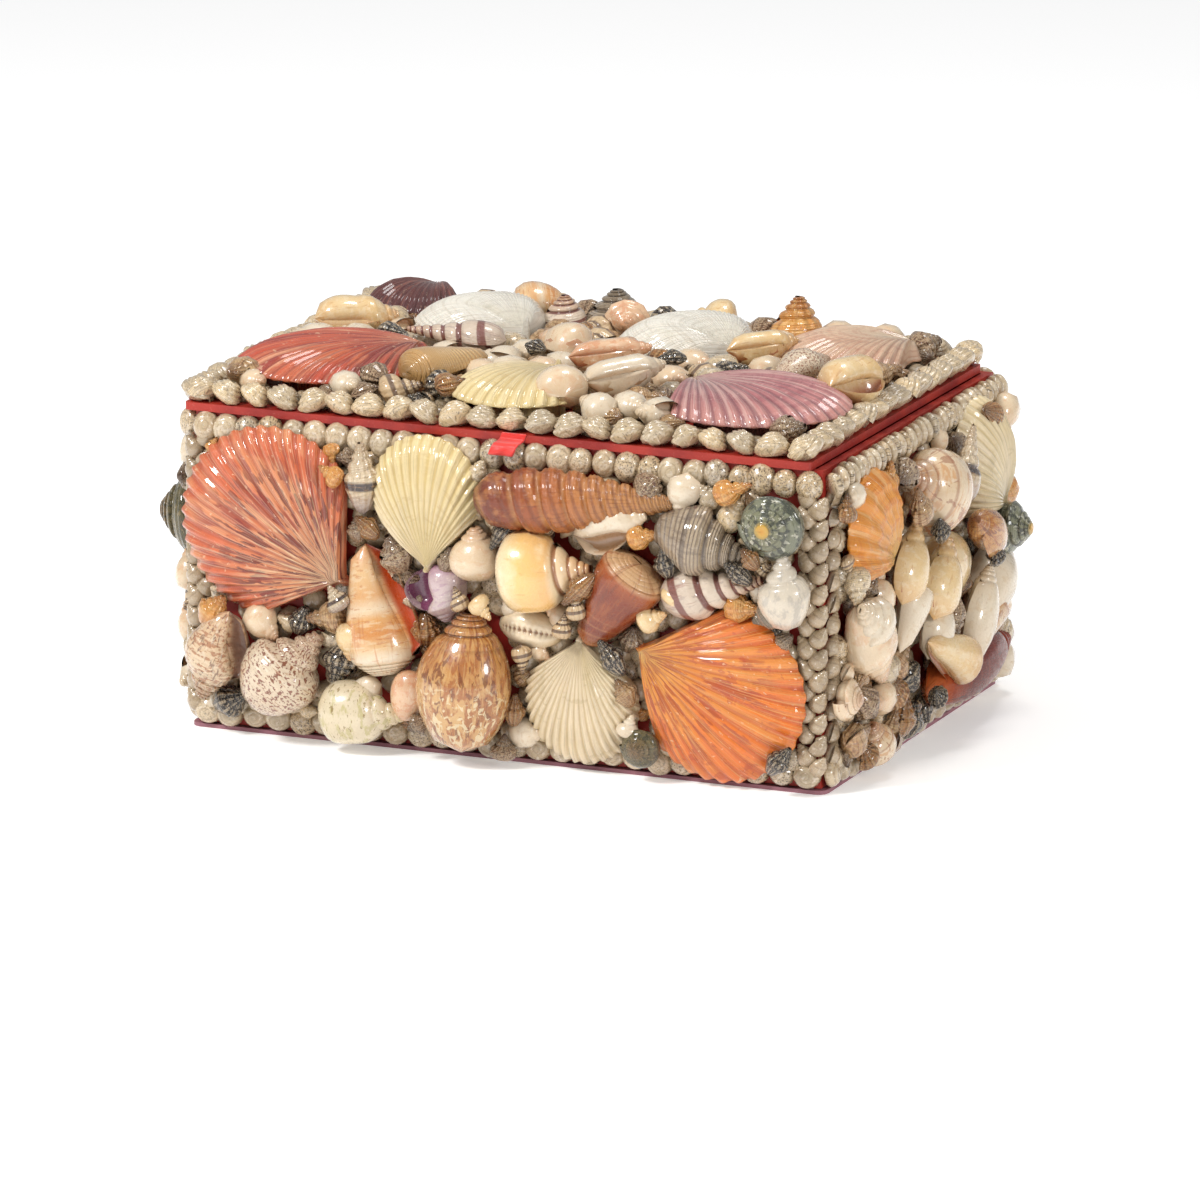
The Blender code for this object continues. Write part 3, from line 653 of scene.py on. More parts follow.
def fan_look(stops, layers, bumps=FAN_BUMPS):
    """The finish of a bivalve, with fine pale and dark riblets over its colours."""
    pale, dark = stops[0][1], tuple(0.62 * part for part in stops[-1][1])
    riblets = (
        ((110, 2.0, 1), 0.52, 0.66, pale, 0.4),
        ((90, 2.0, 1), 0.46, 0.32, dark, 0.3),
    )
    return Look(stops, (*layers, *riblets), bumps=bumps, depth=0.6)


def glossy(stops, layers, mouth, bumps=(WRINKLES,), warp=0.0, coat=1.0):
    """The finish of a smooth varnished snail."""
    return Look(stops, layers, mouth, bumps, rough=0.3, coat=coat, depth=0.15, warp=warp)


def ribbed(stops, layers, mouth, bumps=(STRONG_RIBS, FINE_CORDS), depth=0.8):
    """The finish of a snail with ribs or cords."""
    return Look(stops, layers, mouth, bumps, rough=0.34, coat=0.9, depth=depth)


LOOKS = {
    "rose": fan_look(
        (
            (0, (240, 214, 186)), (0.2, (222, 160, 120)), (0.5, (220, 134, 92)),
            (0.8, (218, 108, 62)), (1, (214, 116, 76)),
        ),
        (
            ((5, 2, 1), 0.5, 0.6, (236, 172, 128), 0.6),
            ((15, 4.5, 1), 0.51, 0.55, (104, 30, 34), 0.85, ("along", 0.95, 0.6)),
            ((11, 2.5, 1), 0.54, 0.6, (156, 58, 48), 0.7, ("along", 0.98, 0.8)),
            ((32, 2.5, 1), 0.54, 0.6, (248, 224, 192), 0.8, ("along", 0.9, 0.2)),
            ((28, 22, 1), 0.64, 0.69, (248, 222, 196), 0.6),
            # painted shade: darker red in the grooves between the ribs
            (None, 0.5, 0.05, (168, 66, 44), 0.45),
        ),
    ),
    "orange": fan_look(
        ((0, (244, 208, 136)), (0.18, (242, 166, 66)), (0.5, (240, 134, 34)), (1, (240, 128, 28))),
        (
            ((4, 1.2, 1), 0.5, 0.62, (240, 168, 80), 0.6),
            ((13, 4, 1), 0.52, 0.58, (176, 66, 34), 0.7, ("along", 0.98, 0.7)),
            ((10, 12, 1), 0.58, 0.64, (196, 84, 40), 0.6),
            ((34, 30, 1), 0.65, 0.7, (250, 228, 196), 0.6),
            # painted shade: darker orange in the grooves between the ribs
            (None, 0.5, 0.05, (196, 82, 20), 0.55),
        ),
    ),
    "yellow_cream": fan_look(
        ((0, (240, 226, 186)), (0.5, (250, 242, 220)), (1, (246, 236, 204))),
        (
            ((0.9, 0.4, 1), 0.44, 0.6, (238, 224, 150), 0.4),
            # painted shade: darker yellow in the grooves between the ribs
            (None, 0.5, 0.0, (214, 190, 118), 0.6),
            ((2, 14, 1), 0.58, 0.66, (216, 194, 140), 0.4),
        ),
    ),
    "white_green": fan_look(
        ((0, (226, 212, 178)), (0.3, (246, 238, 218)), (1, (248, 240, 220))),
        (
            # painted shade: darker colour in the grooves between the ribs
            (None, 0.5, 0.0, (212, 192, 142), 0.6),
            ((0.9, 0.4, 1), 0.46, 0.6, (230, 216, 160), 0.4),
            ((2, 12, 1), 0.58, 0.66, (206, 192, 152), 0.4),
        ),
    ),
    "coral": fan_look(
        ((0, (232, 176, 150)), (0.25, (196, 98, 78)), (0.6, (204, 92, 62)), (1, (196, 78, 50))),
        (
            (RAYS, 0.5, 0.58, (142, 48, 52), 0.75),
            ((5, 1.5, 1), 0.54, 0.64, (228, 130, 88), 0.6),
            (FINE_RAYS, 0.6, 0.66, (240, 190, 160), 0.6),
            ((26, 20, 1), 0.64, 0.69, (246, 214, 190), 0.5),
            # painted shade: dark red in the grooves between the ribs
            (None, 0.5, 0.0, (132, 40, 38), 0.5),
        ),
    ),
    "mauve": fan_look(
        ((0, (220, 184, 178)), (0.3, (188, 126, 130)), (0.75, (186, 116, 120)), (1, (210, 150, 142))),
        (
            ((1, 18, 1), 0.5, 0.6, (160, 92, 100), 0.5),
            ((24, 1.2, 1), 0.52, 0.6, (224, 186, 178), 0.7),
            # painted shade: dark purple in the grooves between the ribs
            (None, 0.55, 0.0, (118, 62, 76), 0.65),
            ((26, 22, 1), 0.62, 0.68, (222, 186, 180), 0.45),
        ),
    ),
    "clam": fan_look(
        ((0, (232, 224, 206)), (0.4, (246, 242, 234)), (1, (246, 242, 232))),
        (
            ((1, 34, 1), 0.5, 0.6, (214, 206, 192), 0.5),
            ((1.5, 3, 1), 0.5, 0.7, (222, 212, 188), 0.4),
        ),
        (((90, 1.5, 1), 2.4), ((1.5, 60, 1), 2.0)),
    ),
    "pink": fan_look(
        ((0, (238, 226, 208)), (0.4, (232, 210, 192)), (1, (222, 186, 166))),
        (
            ((1, 14, 1), 0.52, 0.62, (206, 158, 142), 0.5),
            ((1, 6, 1), 0.55, 0.65, (236, 220, 206), 0.6),
            # painted shade: darker pink in the grooves between the ribs
            (None, 0.5, 0.0, (186, 134, 122), 0.5),
        ),
    ),
    "plum": fan_look(
        ((0, (140, 84, 78)), (0.4, (104, 50, 50)), (1, (88, 38, 44))),
        (
            (RAYS, 0.54, 0.62, (168, 110, 100), 0.6),
            ((22, 14, 1), 0.56, 0.62, (60, 24, 30), 0.7),
            ((22, 14, 1), 0.62, 0.67, (214, 176, 164), 0.5),
        ),
    ),
    "amber_fan": fan_look(
        ((0, (244, 208, 130)), (0.4, (242, 172, 64)), (1, (238, 156, 46))),
        (
            ((1, 10, 1), 0.5, 0.6, (214, 122, 34), 0.5),
            (RAYS, 0.54, 0.62, (244, 206, 150), 0.6),
        ),
    ),
    "turret": Look(
        (
            (0, (222, 180, 134)), (0.3, (212, 154, 100)), (0.55, (200, 128, 74)),
            (0.72, (178, 96, 46)), (0.84, (148, 70, 32)), (0.92, (134, 58, 28)), (1, (104, 44, 26)),
        ),
        (
            ((2, 2, 5), 0.5, 0.62, (214, 148, 90), 0.5),
            ((9, 9, 1.4), 0.56, 0.66, (130, 60, 30), 0.4),
            # painted shade: darker brown in the troughs between the bumped cords
            (("cords", 5), 0.5, 0.0, (118, 56, 30), 0.5),
            (None, 0.14, 0.0, (214, 160, 108), 0.4),
        ),
        mouth=(90, 40, 30),
        bumps=(FINE_CORDS,),
        coat=0.5,
        depth=0.8,
    ),
    "tan_moon": glossy(
        (
            (0, (120, 80, 58)), (0.12, (206, 160, 112)), (0.4, (236, 214, 176)),
            (0.46, (232, 186, 120)), (0.7, (236, 196, 126)), (0.86, (234, 212, 170)),
            (1, (232, 220, 200)),
        ),
        (
            (None, 0.32, 0.04, (148, 92, 54), 0.85, ("along", 0.5, 0.42)),
            ((1.2, 1.2, 1), 0.52, 0.66, (240, 222, 182), 0.6, ("along", 0.44, 0.5)),
            ((9, 9, 2), 0.62, 0.7, (214, 160, 96), 0.4),
        ),
        (180, 130, 90),
    ),
    "cream_moon": glossy(
        ((0, (190, 150, 120)), (0.3, (228, 210, 186)), (0.7, (232, 220, 200)), (1, (220, 200, 174))),
        (
            ((1.5, 1.5, 3), 0.5, 0.64, (222, 184, 152), 0.5),
            ((6, 6, 3), 0.58, 0.68, (240, 234, 224), 0.6),
        ),
        (190, 146, 116),
    ),
    "brown_cone": glossy(
        (
            (0, (216, 180, 150)), (0.1, (228, 200, 174)), (0.18, (172, 94, 52)),
            (0.3, (142, 64, 34)), (0.75, (132, 56, 28)), (1, (180, 116, 72)),
        ),
        (
            ((1.4, 1.4, 1), 0.52, 0.62, (170, 94, 52), 0.5),
            ((14, 14, 1.4), 0.56, 0.64, (182, 112, 68), 0.4),
            (("cords", 3), 0.86, 0.98, (200, 150, 116), 0.4, ("along", 0.5, 0.7)),
            ((10, 10, 1.4), 0.56, 0.66, (118, 60, 42), 0.5),
        ),
        (110, 60, 45),
        coat=0.5,
    ),
    "grey_whelk": ribbed(
        ((0, (176, 164, 146)), (0.4, (190, 178, 160)), (0.75, (176, 164, 148)), (1, (154, 142, 128))),
        (
            (("cords", 6), 0.42, 0.1, (100, 88, 78), 0.7),
            ((6, 6, 2), 0.54, 0.64, (112, 98, 88), 0.5),
            ((7, 7, 7), 0.62, 0.68, (212, 204, 198), 0.5),
            (None, 0.2, 0.0, (66, 56, 56), 0.6),
        ),
        (110, 84, 80),
        (FINE_CORDS, WRINKLES),
    ),
    "green_turban": ribbed(
        (
            (0, (226, 166, 40)), (0.05, (214, 176, 70)), (0.1, (128, 134, 106)),
            (0.5, (120, 130, 116)), (1, (84, 90, 82)),
        ),
        (
            ((3, 3, 3), 0.48, 0.56, (40, 50, 42), 0.85, ("along", 0.05, 0.12)),
            ((4, 4, 4), 0.57, 0.63, (206, 212, 204), 0.75, ("along", 0.05, 0.12)),
            (None, 0.25, 0.0, (52, 58, 52), 0.5, ("along", 0.1, 0.2)),
        ),
        (190, 190, 170),
        (WRINKLES, FINE_CORDS),
        0.4,
    ),
    "moss_turban": ribbed(
        ((0, (150, 120, 80)), (0.3, (112, 106, 70)), (0.7, (92, 90, 60)), (1, (120, 104, 76))),
        (
            ((5, 5, 5), 0.5, 0.6, (54, 60, 44), 0.8),
            ((8, 8, 8), 0.58, 0.66, (176, 160, 120), 0.6),
        ),
        (200, 190, 170),
        (((12, 12, 20), 1.5),),
    ),
    "striped": ribbed(
        ((0, (180, 130, 90)), (0.2, (206, 180, 160)), (0.45, (222, 214, 206)), (1, (206, 196, 190))),
        (
            ((4, 4, 3), 0.54, 0.64, (168, 156, 156), 0.55),
            (None, 0.3, 0.14, (112, 46, 40), 0.9),
            ((10, 10, 1.4), 0.58, 0.64, (150, 100, 92), 0.5, ("along", 0.6, 0.7)),
        ),
        (150, 100, 90),
        (WRINKLES, (("cords", 4), 0.3)),
        0.4,
    ),
    "flame": glossy(
        (
            (0, (168, 114, 70)), (0.16, (210, 162, 108)), (0.35, (204, 152, 98)),
            (0.7, (222, 188, 144)), (1, (206, 154, 104)),
        ),
        (
            ((3.2, 3.2, 1.6), 0.44, 0.53, (172, 106, 56), 0.85),
            ((12, 12, 1.8), 0.52, 0.6, (226, 190, 144), 0.5),
            ((6, 6, 3), 0.56, 0.61, (122, 68, 38), 0.75),
            ((5, 5, 4), 0.55, 0.6, (240, 230, 210), 0.85, ("along", 0.4, 0.62)),
            (None, 0.2, 0.0, (120, 72, 44), 0.7, ("along", 0.3, 0.2)),
        ),
        (210, 160, 130),
        warp=1.2,
    ),
    "white_green_turban": glossy(
        ((0, (206, 186, 140)), (0.4, (226, 222, 206)), (1, (222, 216, 194))),
        (
            ((1.6, 1.6, 5), 0.52, 0.62, (186, 184, 120), 0.6),
            ((4, 4, 12), 0.6, 0.66, (140, 120, 66), 0.75),
            (SPOT, 0.66, 0.7, (110, 84, 54), 0.6),
        ),
        (224, 214, 196),
    ),
    "dashed": ribbed(
        ((0, (196, 172, 150)), (0.5, (228, 220, 206)), (1, (224, 212, 196))),
        (
            ((10, 10, 16), 0.54, 0.57, (128, 66, 44), 0.9),
            ((3, 3, 20), 0.58, 0.64, (176, 128, 96), 0.6),
        ),
        (228, 204, 184),
        ((("cords", 5), 0.5), WRINKLES),
        0.5,
    ),
    "helmet": ribbed(
        ((0, (190, 160, 132)), (0.4, (232, 218, 196)), (1, (220, 190, 158))),
        (
            ((3, 3, 12), 0.5, 0.57, (172, 112, 74), 0.75),
            ((8, 8, 4), 0.58, 0.63, (112, 72, 54), 0.7),
            ((6, 6, 5), 0.58, 0.66, (236, 228, 214), 0.6),
        ),
        (150, 118, 104),
        ((("cords", 4), 0.6), WRINKLES),
        0.6,
    ),
    "orange_lip": glossy(
        (
            (0, (230, 222, 206)), (0.16, (232, 226, 212)), (0.24, (226, 196, 154)),
            (0.34, (214, 152, 92)), (0.45, (222, 176, 120)), (0.52, (234, 222, 202)),
            (0.62, (222, 178, 130)), (0.78, (228, 200, 160)), (1, (222, 170, 130)),
        ),
        (
            ((1.4, 1.4, 9), 0.52, 0.6, (234, 216, 188), 0.6),
            ((12, 12, 1.2), 0.56, 0.66, (196, 128, 78), 0.55, ("along", 0.6, 0.4)),
            ((2, 2, 14), 0.6, 0.64, (190, 122, 76), 0.5),
        ),
        (196, 78, 34),
    ),
    "purple": glossy(
        ((0, (176, 160, 176)), (0.4, (208, 198, 208)), (0.8, (200, 184, 200)), (1, (176, 130, 170))),
        (
            ((2, 2, 6), 0.5, 0.62, (176, 146, 178), 0.5),
            ((6, 6, 6), 0.58, 0.68, (226, 220, 226), 0.6),
        ),
        (132, 74, 116),
    ),
    "cowrie": glossy(
        ((0, (232, 214, 180)), (0.3, (246, 238, 220)), (0.7, (246, 238, 220)), (1, (234, 216, 182))),
        (((3, 3, 3), 0.5, 0.64, (236, 222, 194), 0.6),),
        (150, 112, 74),
    ),
    "peach": glossy(
        ((0, (214, 172, 142)), (0.5, (232, 204, 178)), (1, (214, 168, 136))),
        (
            ((2, 2, 4), 0.5, 0.6, (214, 152, 116), 0.6),
            ((5, 5, 3), 0.58, 0.68, (238, 226, 210), 0.6),
        ),
        (176, 106, 72),
    ),
    "golden": glossy(
        ((0, (196, 152, 104)), (0.3, (228, 202, 154)), (0.7, (234, 216, 176)), (1, (222, 188, 138))),
        (
            ((2, 2, 5), 0.5, 0.62, (240, 228, 200), 0.6),
            ((6, 6, 2), 0.6, 0.68, (190, 136, 80), 0.4),
        ),
        (176, 116, 76),
    ),
    "swirl": glossy(
        ((0, (170, 116, 80)), (0.3, (224, 206, 180)), (0.6, (230, 220, 202)), (1, (212, 180, 142))),
        (
            ((1.2, 1.2, 5), 0.5, 0.6, (206, 158, 110), 0.7),
            ((4, 4, 2), 0.58, 0.62, (150, 90, 60), 0.6),
            ((3, 3, 2), 0.56, 0.66, (238, 232, 220), 0.6),
            (None, 0.2, 0.0, (160, 108, 76), 0.6),
        ),
        (190, 140, 110),
        warp=0.8,
    ),
    "dark_brown": Look(
        (
            (0, (140, 60, 34)), (0.3, (118, 36, 18)), (0.7, (96, 24, 12)), (0.9, (160, 76, 38)),
            (1, (204, 116, 66)),
        ),
        (
            ((1.4, 1.4, 12), 0.52, 0.62, (130, 54, 32), 0.5),
            ((6, 6, 2), 0.58, 0.66, (50, 12, 8), 0.6),
        ),
        (206, 92, 46),
        (WRINKLES,),
        rough=0.25,
        coat=0.1,
        depth=0.12,
        shine=0.15,
    ),
    "white_gloss": glossy(
        ((0, (214, 200, 178)), (0.4, (232, 228, 218)), (1, (224, 214, 198))),
        (
            ((2, 2, 4), 0.54, 0.66, (214, 196, 168), 0.5),
            ((4, 4, 9), 0.6, 0.7, (196, 178, 156), 0.4),
        ),
        (190, 158, 128),
    ),
    "nassa": ribbed(
        ((0, (40, 34, 32)), (0.5, (52, 44, 40)), (1, (36, 30, 28))),
        (
            (("ribs", 12), 0.6, 0.8, (214, 204, 186), 0.9, ("band", 0.2, 0.45)),
            ((8, 8, 12), 0.54, 0.6, (222, 212, 194), 0.85),
        ),
        (90, 70, 60),
        depth=1.0,
    ),
    "banded": ribbed(
        (
            (0, (196, 176, 150)), (0.3, (220, 208, 188)), (0.52, (228, 218, 198)),
            (0.56, (74, 64, 66)), (0.64, (66, 58, 62)), (0.67, (216, 204, 180)),
            (0.8, (196, 184, 176)), (1, (160, 152, 160)),
        ),
        (((2, 2, 20), 0.56, 0.64, (176, 140, 104), 0.55), ((6, 6, 3), 0.58, 0.66, (150, 134, 124), 0.5)),
        (170, 150, 130),
        depth=0.5,
    ),
    "stripy": ribbed(
        ((0, (120, 90, 66)), (0.4, (216, 198, 168)), (1, (206, 184, 152))),
        (
            (None, 0.5, 0.24, (84, 58, 44), 0.85),
            ((6, 6, 3), 0.58, 0.66, (160, 116, 80), 0.5),
        ),
        (140, 104, 80),
        ((("ribs", 12), 0.8),),
        0.5,
    ),
    "amber": ribbed(
        ((0, (140, 92, 56)), (0.3, (206, 148, 88)), (0.7, (216, 162, 100)), (1, (186, 126, 76))),
        (
            (("ribs", 12), 0.5, 0.95, (236, 206, 160), 0.6),
            ((3, 3, 9), 0.54, 0.62, (158, 94, 52), 0.6),
            ((9, 9, 9), 0.6, 0.66, (104, 58, 36), 0.6),
        ),
        (120, 70, 46),
        depth=1.0,
    ),
    "tan_bands": ribbed(
        ((0, (160, 120, 84)), (0.5, (214, 186, 146)), (1, (196, 160, 118))),
        (
            ((1.5, 1.5, 14), 0.5, 0.58, (150, 100, 62), 0.65),
            ((10, 10, 3), 0.6, 0.66, (112, 74, 48), 0.5),
        ),
        (150, 106, 78),
        depth=0.7,
    ),
    "pale": glossy(
        ((0, (196, 194, 190)), (0.4, (214, 212, 206)), (0.8, (222, 220, 214)), (1, (200, 196, 200))),
        (
            ((3, 3, 2), 0.5, 0.62, (178, 178, 178), 0.6),
            ((6, 6, 4), 0.6, 0.68, (236, 232, 222), 0.6),
        ),
        (190, 180, 170),
    ),
    "tan_ribs": ribbed(
        ((0, (206, 170, 116)), (0.5, (222, 194, 142)), (0.8, (216, 188, 140)), (1, (196, 156, 104))),
        (
            # painted shade: darker tan in the troughs between the bumped cords
            (("cords", 5), 0.5, 0.0, (196, 152, 96), 0.7),
            ((10, 10, 3), 0.6, 0.66, (196, 150, 96), 0.4),
        ),
        (160, 116, 80),
        (FINE_CORDS,),
        0.5,
    ),
    "speckled": ribbed(
        ((0, (130, 104, 84)), (0.4, (206, 188, 164)), (1, (196, 172, 146))),
        (
            ((8, 8, 10), 0.52, 0.57, (112, 66, 44), 0.85),
            ((7, 7, 12), 0.6, 0.64, (58, 40, 32), 0.8),
        ),
        (110, 80, 62),
        depth=0.8,
    ),
    "orange_snail": ribbed(
        ((0, (170, 104, 50)), (0.4, (224, 164, 84)), (1, (214, 148, 74))),
        (
            ((2, 2, 6), 0.5, 0.6, (238, 200, 134), 0.6),
            ((8, 8, 3), 0.58, 0.66, (166, 92, 46), 0.6),
        ),
        (176, 100, 54),
        depth=0.5,
    ),
    "beads": Look(
        (
            (0, (200, 186, 160)), (0.2, (224, 212, 188)), (0.4, (198, 188, 166)),
            (0.6, (232, 220, 196)), (0.8, (214, 196, 164)), (1, (196, 188, 170)),
        ),
        (
            (None, 0.4, 0.05, (150, 130, 108), 0.45),
            ((4, 4, 4), 0.54, 0.64, (160, 144, 122), 0.4),
            (SPOT, 0.54, 0.59, (58, 50, 44), 0.75, ("tint", 0.55, 0.7)),
            ((3, 3, 3), 0.54, 0.64, (240, 236, 226), 0.65),
            (SPOT, 0.6, 0.64, (170, 120, 78), 0.6, ("tint", 0.3, 0.1)),
        ),
        bumps=(((8, 8, 8), 0.4),),
        by="tint",
        rough=0.24,
        coat=1.0,
        depth=0.14,
    ),
    "nacre": Look(
        (
            (0, (198, 186, 162)), (0.25, (226, 210, 178)), (0.5, (198, 188, 168)),
            (0.75, (232, 218, 188)), (1, (190, 182, 164)),
        ),
        (
            ((2, 2, 5), 0.5, 0.6, (176, 164, 148), 0.55),
            ((9, 9, 5), 0.58, 0.62, (92, 84, 76), 0.65),
            (("cords", 5), 0.4, 0.0, (150, 136, 120), 0.55, ("tint", 0.4, 0.6)),
            ((3, 3, 3), 0.56, 0.64, (236, 232, 222), 0.7),
        ),
        bumps=(((4, 4, 4), 0.6), (("cords", 5), 0.2)),
        by="tint",
        rough=0.22,
        coat=1.0,
        depth=0.14,
    ),
    "pearls": Look(
        ((0, (202, 190, 164)), (0.3, (218, 206, 182)), (0.6, (188, 176, 152)), (1, (224, 212, 188))),
        (
            (None, 0.3, 0.0, (150, 132, 112), 0.5),
            (SPOT, 0.57, 0.63, (150, 134, 114), 0.5),
            ((3, 3, 3), 0.56, 0.66, (230, 226, 214), 0.6),
        ),
        bumps=(((8, 8, 8), 0.5),),
        by="tint",
        rough=0.3,
        coat=1.0,
        depth=0.15,
    ),
}
MADE = {}


def material(name):
    """The finish of that name, built the first time that it is asked for."""
    if name not in MADE:
        MADE[name] = LOOKS[name].build(name)
    return MADE[name]


def board_material(name, colour, dark, rough, fibre):
    """Card covered with paper: fibres, a mottled dye and worn paler spots."""
    made, tree, surface = new_material(name)
    place = add(tree, "TexCoord").outputs["Object"]
    cloud = add(tree, "TexNoise", {"Vector": place, "Scale": 60.0, "Detail": 5.0}).outputs["Fac"]
    kind = {"Scale": fibre, "Detail": 4.0, "Distortion": 1.5}
    threads = add(tree, "TexNoise", {"Vector": place, **kind}).outputs["Fac"]
    colour = mix(tree, mask(tree, cloud, 0.35, 0.7), linear(colour), linear(dark))
    pale = mask(tree, threads, 0.62, 0.75, 0.25)
    colour = mix(tree, pale, colour, linear((232, 150, 130)))
    tree.links.new(colour, surface.inputs["Base Color"])
    surface.inputs["Roughness"].default_value = rough
    bumped(tree, surface, threads, 0.3, 0.0004)
    return made


def dress_boards():
    """Paper on the walls and the lid board, and card under the box."""
    red = board_material("red_paper", (172, 48, 34), (140, 28, 22), 0.5, 900.0)
    mauve = board_material("mauve_card", (158, 108, 118), (132, 84, 96), 0.65, 700.0)
    for node, finish in (("box_walls", red), ("lid_board", red), ("base_board", mauve)):
        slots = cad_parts[node].material_slots
        for k in range(len(slots)):
            slots[k].link = "OBJECT"
            slots[k].material = finish


# The ribbon tab

RIBBON_WIDTH = 10.0
RIBBON_X = 4.5
RIBBON_SLANT = -3.2
RIBBON_THICKNESS = 0.0004
# Its path from the lid's edge down to the fold: (out, up)
RIBBON_PATH = (
    (2.3, 126.3), (2.3, 123.9), (4.6, 123.4), (7.0, 123.45), (8.4, 122.6),
    (9.0, 121.0), (8.9, 119.4), (8.1, 118.5), (7.3, 119.3), (7.2, 121.2),
)


def smooth_path(points, count):
    """Points evenly spaced on a smooth line through the given ones."""
    points = np.array(points)
    places = np.concatenate([[0], np.cumsum(np.linalg.norm(np.diff(points, axis=0), axis=1))])
    fine = np.linspace(0, places[-1], count)
    line = np.stack([np.interp(fine, places, points[:, k]) for k in range(2)], -1)
    for _ in range(6):
        line[1:-1] = (line[:-2] + 2 * line[1:-1] + line[2:]) / 4
    return line


def ribbon():
    """The satin tab: glued to the lid's edge, over the rim row and folded back on itself."""
    path = smooth_path(RIBBON_PATH, 60)
    width = np.linspace(-0.5, 0.5, 21)[None]
    fallen = (path[0, 1] - path[:, 1])[:, None] / (path[0, 1] - path[:, 1].min())
    u = RIBBON_X + RIBBON_WIDTH * width + RIBBON_SLANT * fallen
    w = path[:, 0][:, None] + 0.25 * np.sin(9 * width + 4 * fallen) * fallen
    skin = Skin()
    places = np.stack([u, path[:, 1][:, None] + 0 * u, w], -1)
    skin.grid(FRONT.world(places), places, along=fallen)
    piece = skin.make("ribbon_tab_satin", "cowrie", "red_ribbon", "ribbon_tab")
    solid = piece.modifiers.new("thickness", "SOLIDIFY")
    solid.thickness = RIBBON_THICKNESS
    piece.data.materials[0] = ribbon_material()


def ribbon_material():
    """Red satin, with fine threads across it and a soft sheen."""
    made, tree, surface = new_material("red_satin")
    thread = noise(tree, (0.4, 9.0, 0.4), 2.0)
    shade = mask(tree, thread, 0.35, 0.7)
    colour = mix(tree, shade, linear((232, 52, 40)), linear((206, 30, 26)))
    tree.links.new(colour, surface.inputs["Base Color"])
    surface.inputs["Roughness"].default_value = 0.35
    surface.inputs["Sheen Weight"].default_value = 0.4
    bumped(tree, surface, thread, 0.35, 0.0003)
    return made


# The large shells, each in the place of its CAD node


def fans():
    """The large bivalves: name, face, beak, centre, radius, dome, look, ribs, ears and lift."""
    rows = (
        ("rose_scallop", FRONT, (-62, 64), (-93, 84.5), 37, 8, "rose", 26, 0.06, ON_BEADS),
        ("yellow_cockle", FRONT, (-27, 73), (-29, 101.5), 22.5, 8, "yellow_cream", 20, 0.1, ON_BEADS),
        ("white_cockle", FRONT, (35, 53), (34, 27), 23.5, 8, "white_green", 24, 0.1, ON_BEADS),
        ("orange_scallop", FRONT, (57, 51), (90.5, 35.5), 33.5, 8, "orange", 20, 0.06, ON_BEADS),
        ("right_orange_scallop", RIGHT, (-42, 80), (-58, 96), 22, 7, "amber_fan", 9, 0.3, ON_BEADS),
        ("right_white_cockle", RIGHT, (66, 77), (50, 98), 24, 11, "white_green", 22, 0.1, ON_BEADS),
        ("lid_coral_scallop", LID, (-60, -14), (-87, -41), 36.5, 8, "coral", 26, 0.15, ON_LID_BEADS),
        ("lid_yellow_scallop", LID, (3, -33), (-2, -59), 26, 8, "yellow_cream", 20, 0.1, ON_LID_BEADS),
        ("lid_mauve_scallop", LID, (55, -29), (88, -45), 36, 8, "mauve", 24, 0.15, ON_LID_BEADS),
        ("lid_white_clam_left", LID, (-33, 20), (-61, 38), 30, 20, "clam", 40, 0.1, ON_WALL),
        ("lid_white_clam_right", LID, (52, 26), (24, 41), 31, 19, "clam", 40, 0.1, ON_WALL),
        ("lid_pink_scallop", LID, (110, 63), (88, 42), 28.5, 11, "pink", 22, 0.2, 6.0),
        ("lid_plum_scallop", LID, (-96, 81), (-99, 62), 18.5, 8, "plum", 20, 0.2, ON_LID_BEADS),
        ("left_scallop", LEFT, (10, 92), (-34, 68), 38, 9, "pink", 22, 0.2, ON_BEADS),
        ("back_scallop", BACK, (-30, 84), (-74, 66), 40, 9, "rose", 24, 0.2, ON_BEADS),
        ("back_cockle", BACK, (30, 84), (74, 66), 40, 9, "white_green", 26, 0.1, ON_BEADS),
    )
    for name, face, beak, centre, radius, dome, look, ribs, ears, lift in rows:
        smooth = look == "clam"
        relief = 0.5 if smooth else 1.1
        notch = 0.004 if smooth else 0.03
        ledges = 0
        if look == "amber_fan":
            relief, notch, ledges = 2.4, 0.08, 5
        wing = 0.8 if ears == 0.1 else 0.0
        skin = Skin()
        form = (radius, dome, ribs, ears, lift, relief, notch, ledges, wing)
        fan(skin, face, beak, centre, *form, tint_of(name))
        skin.make(name + "_shell", look, name, name)


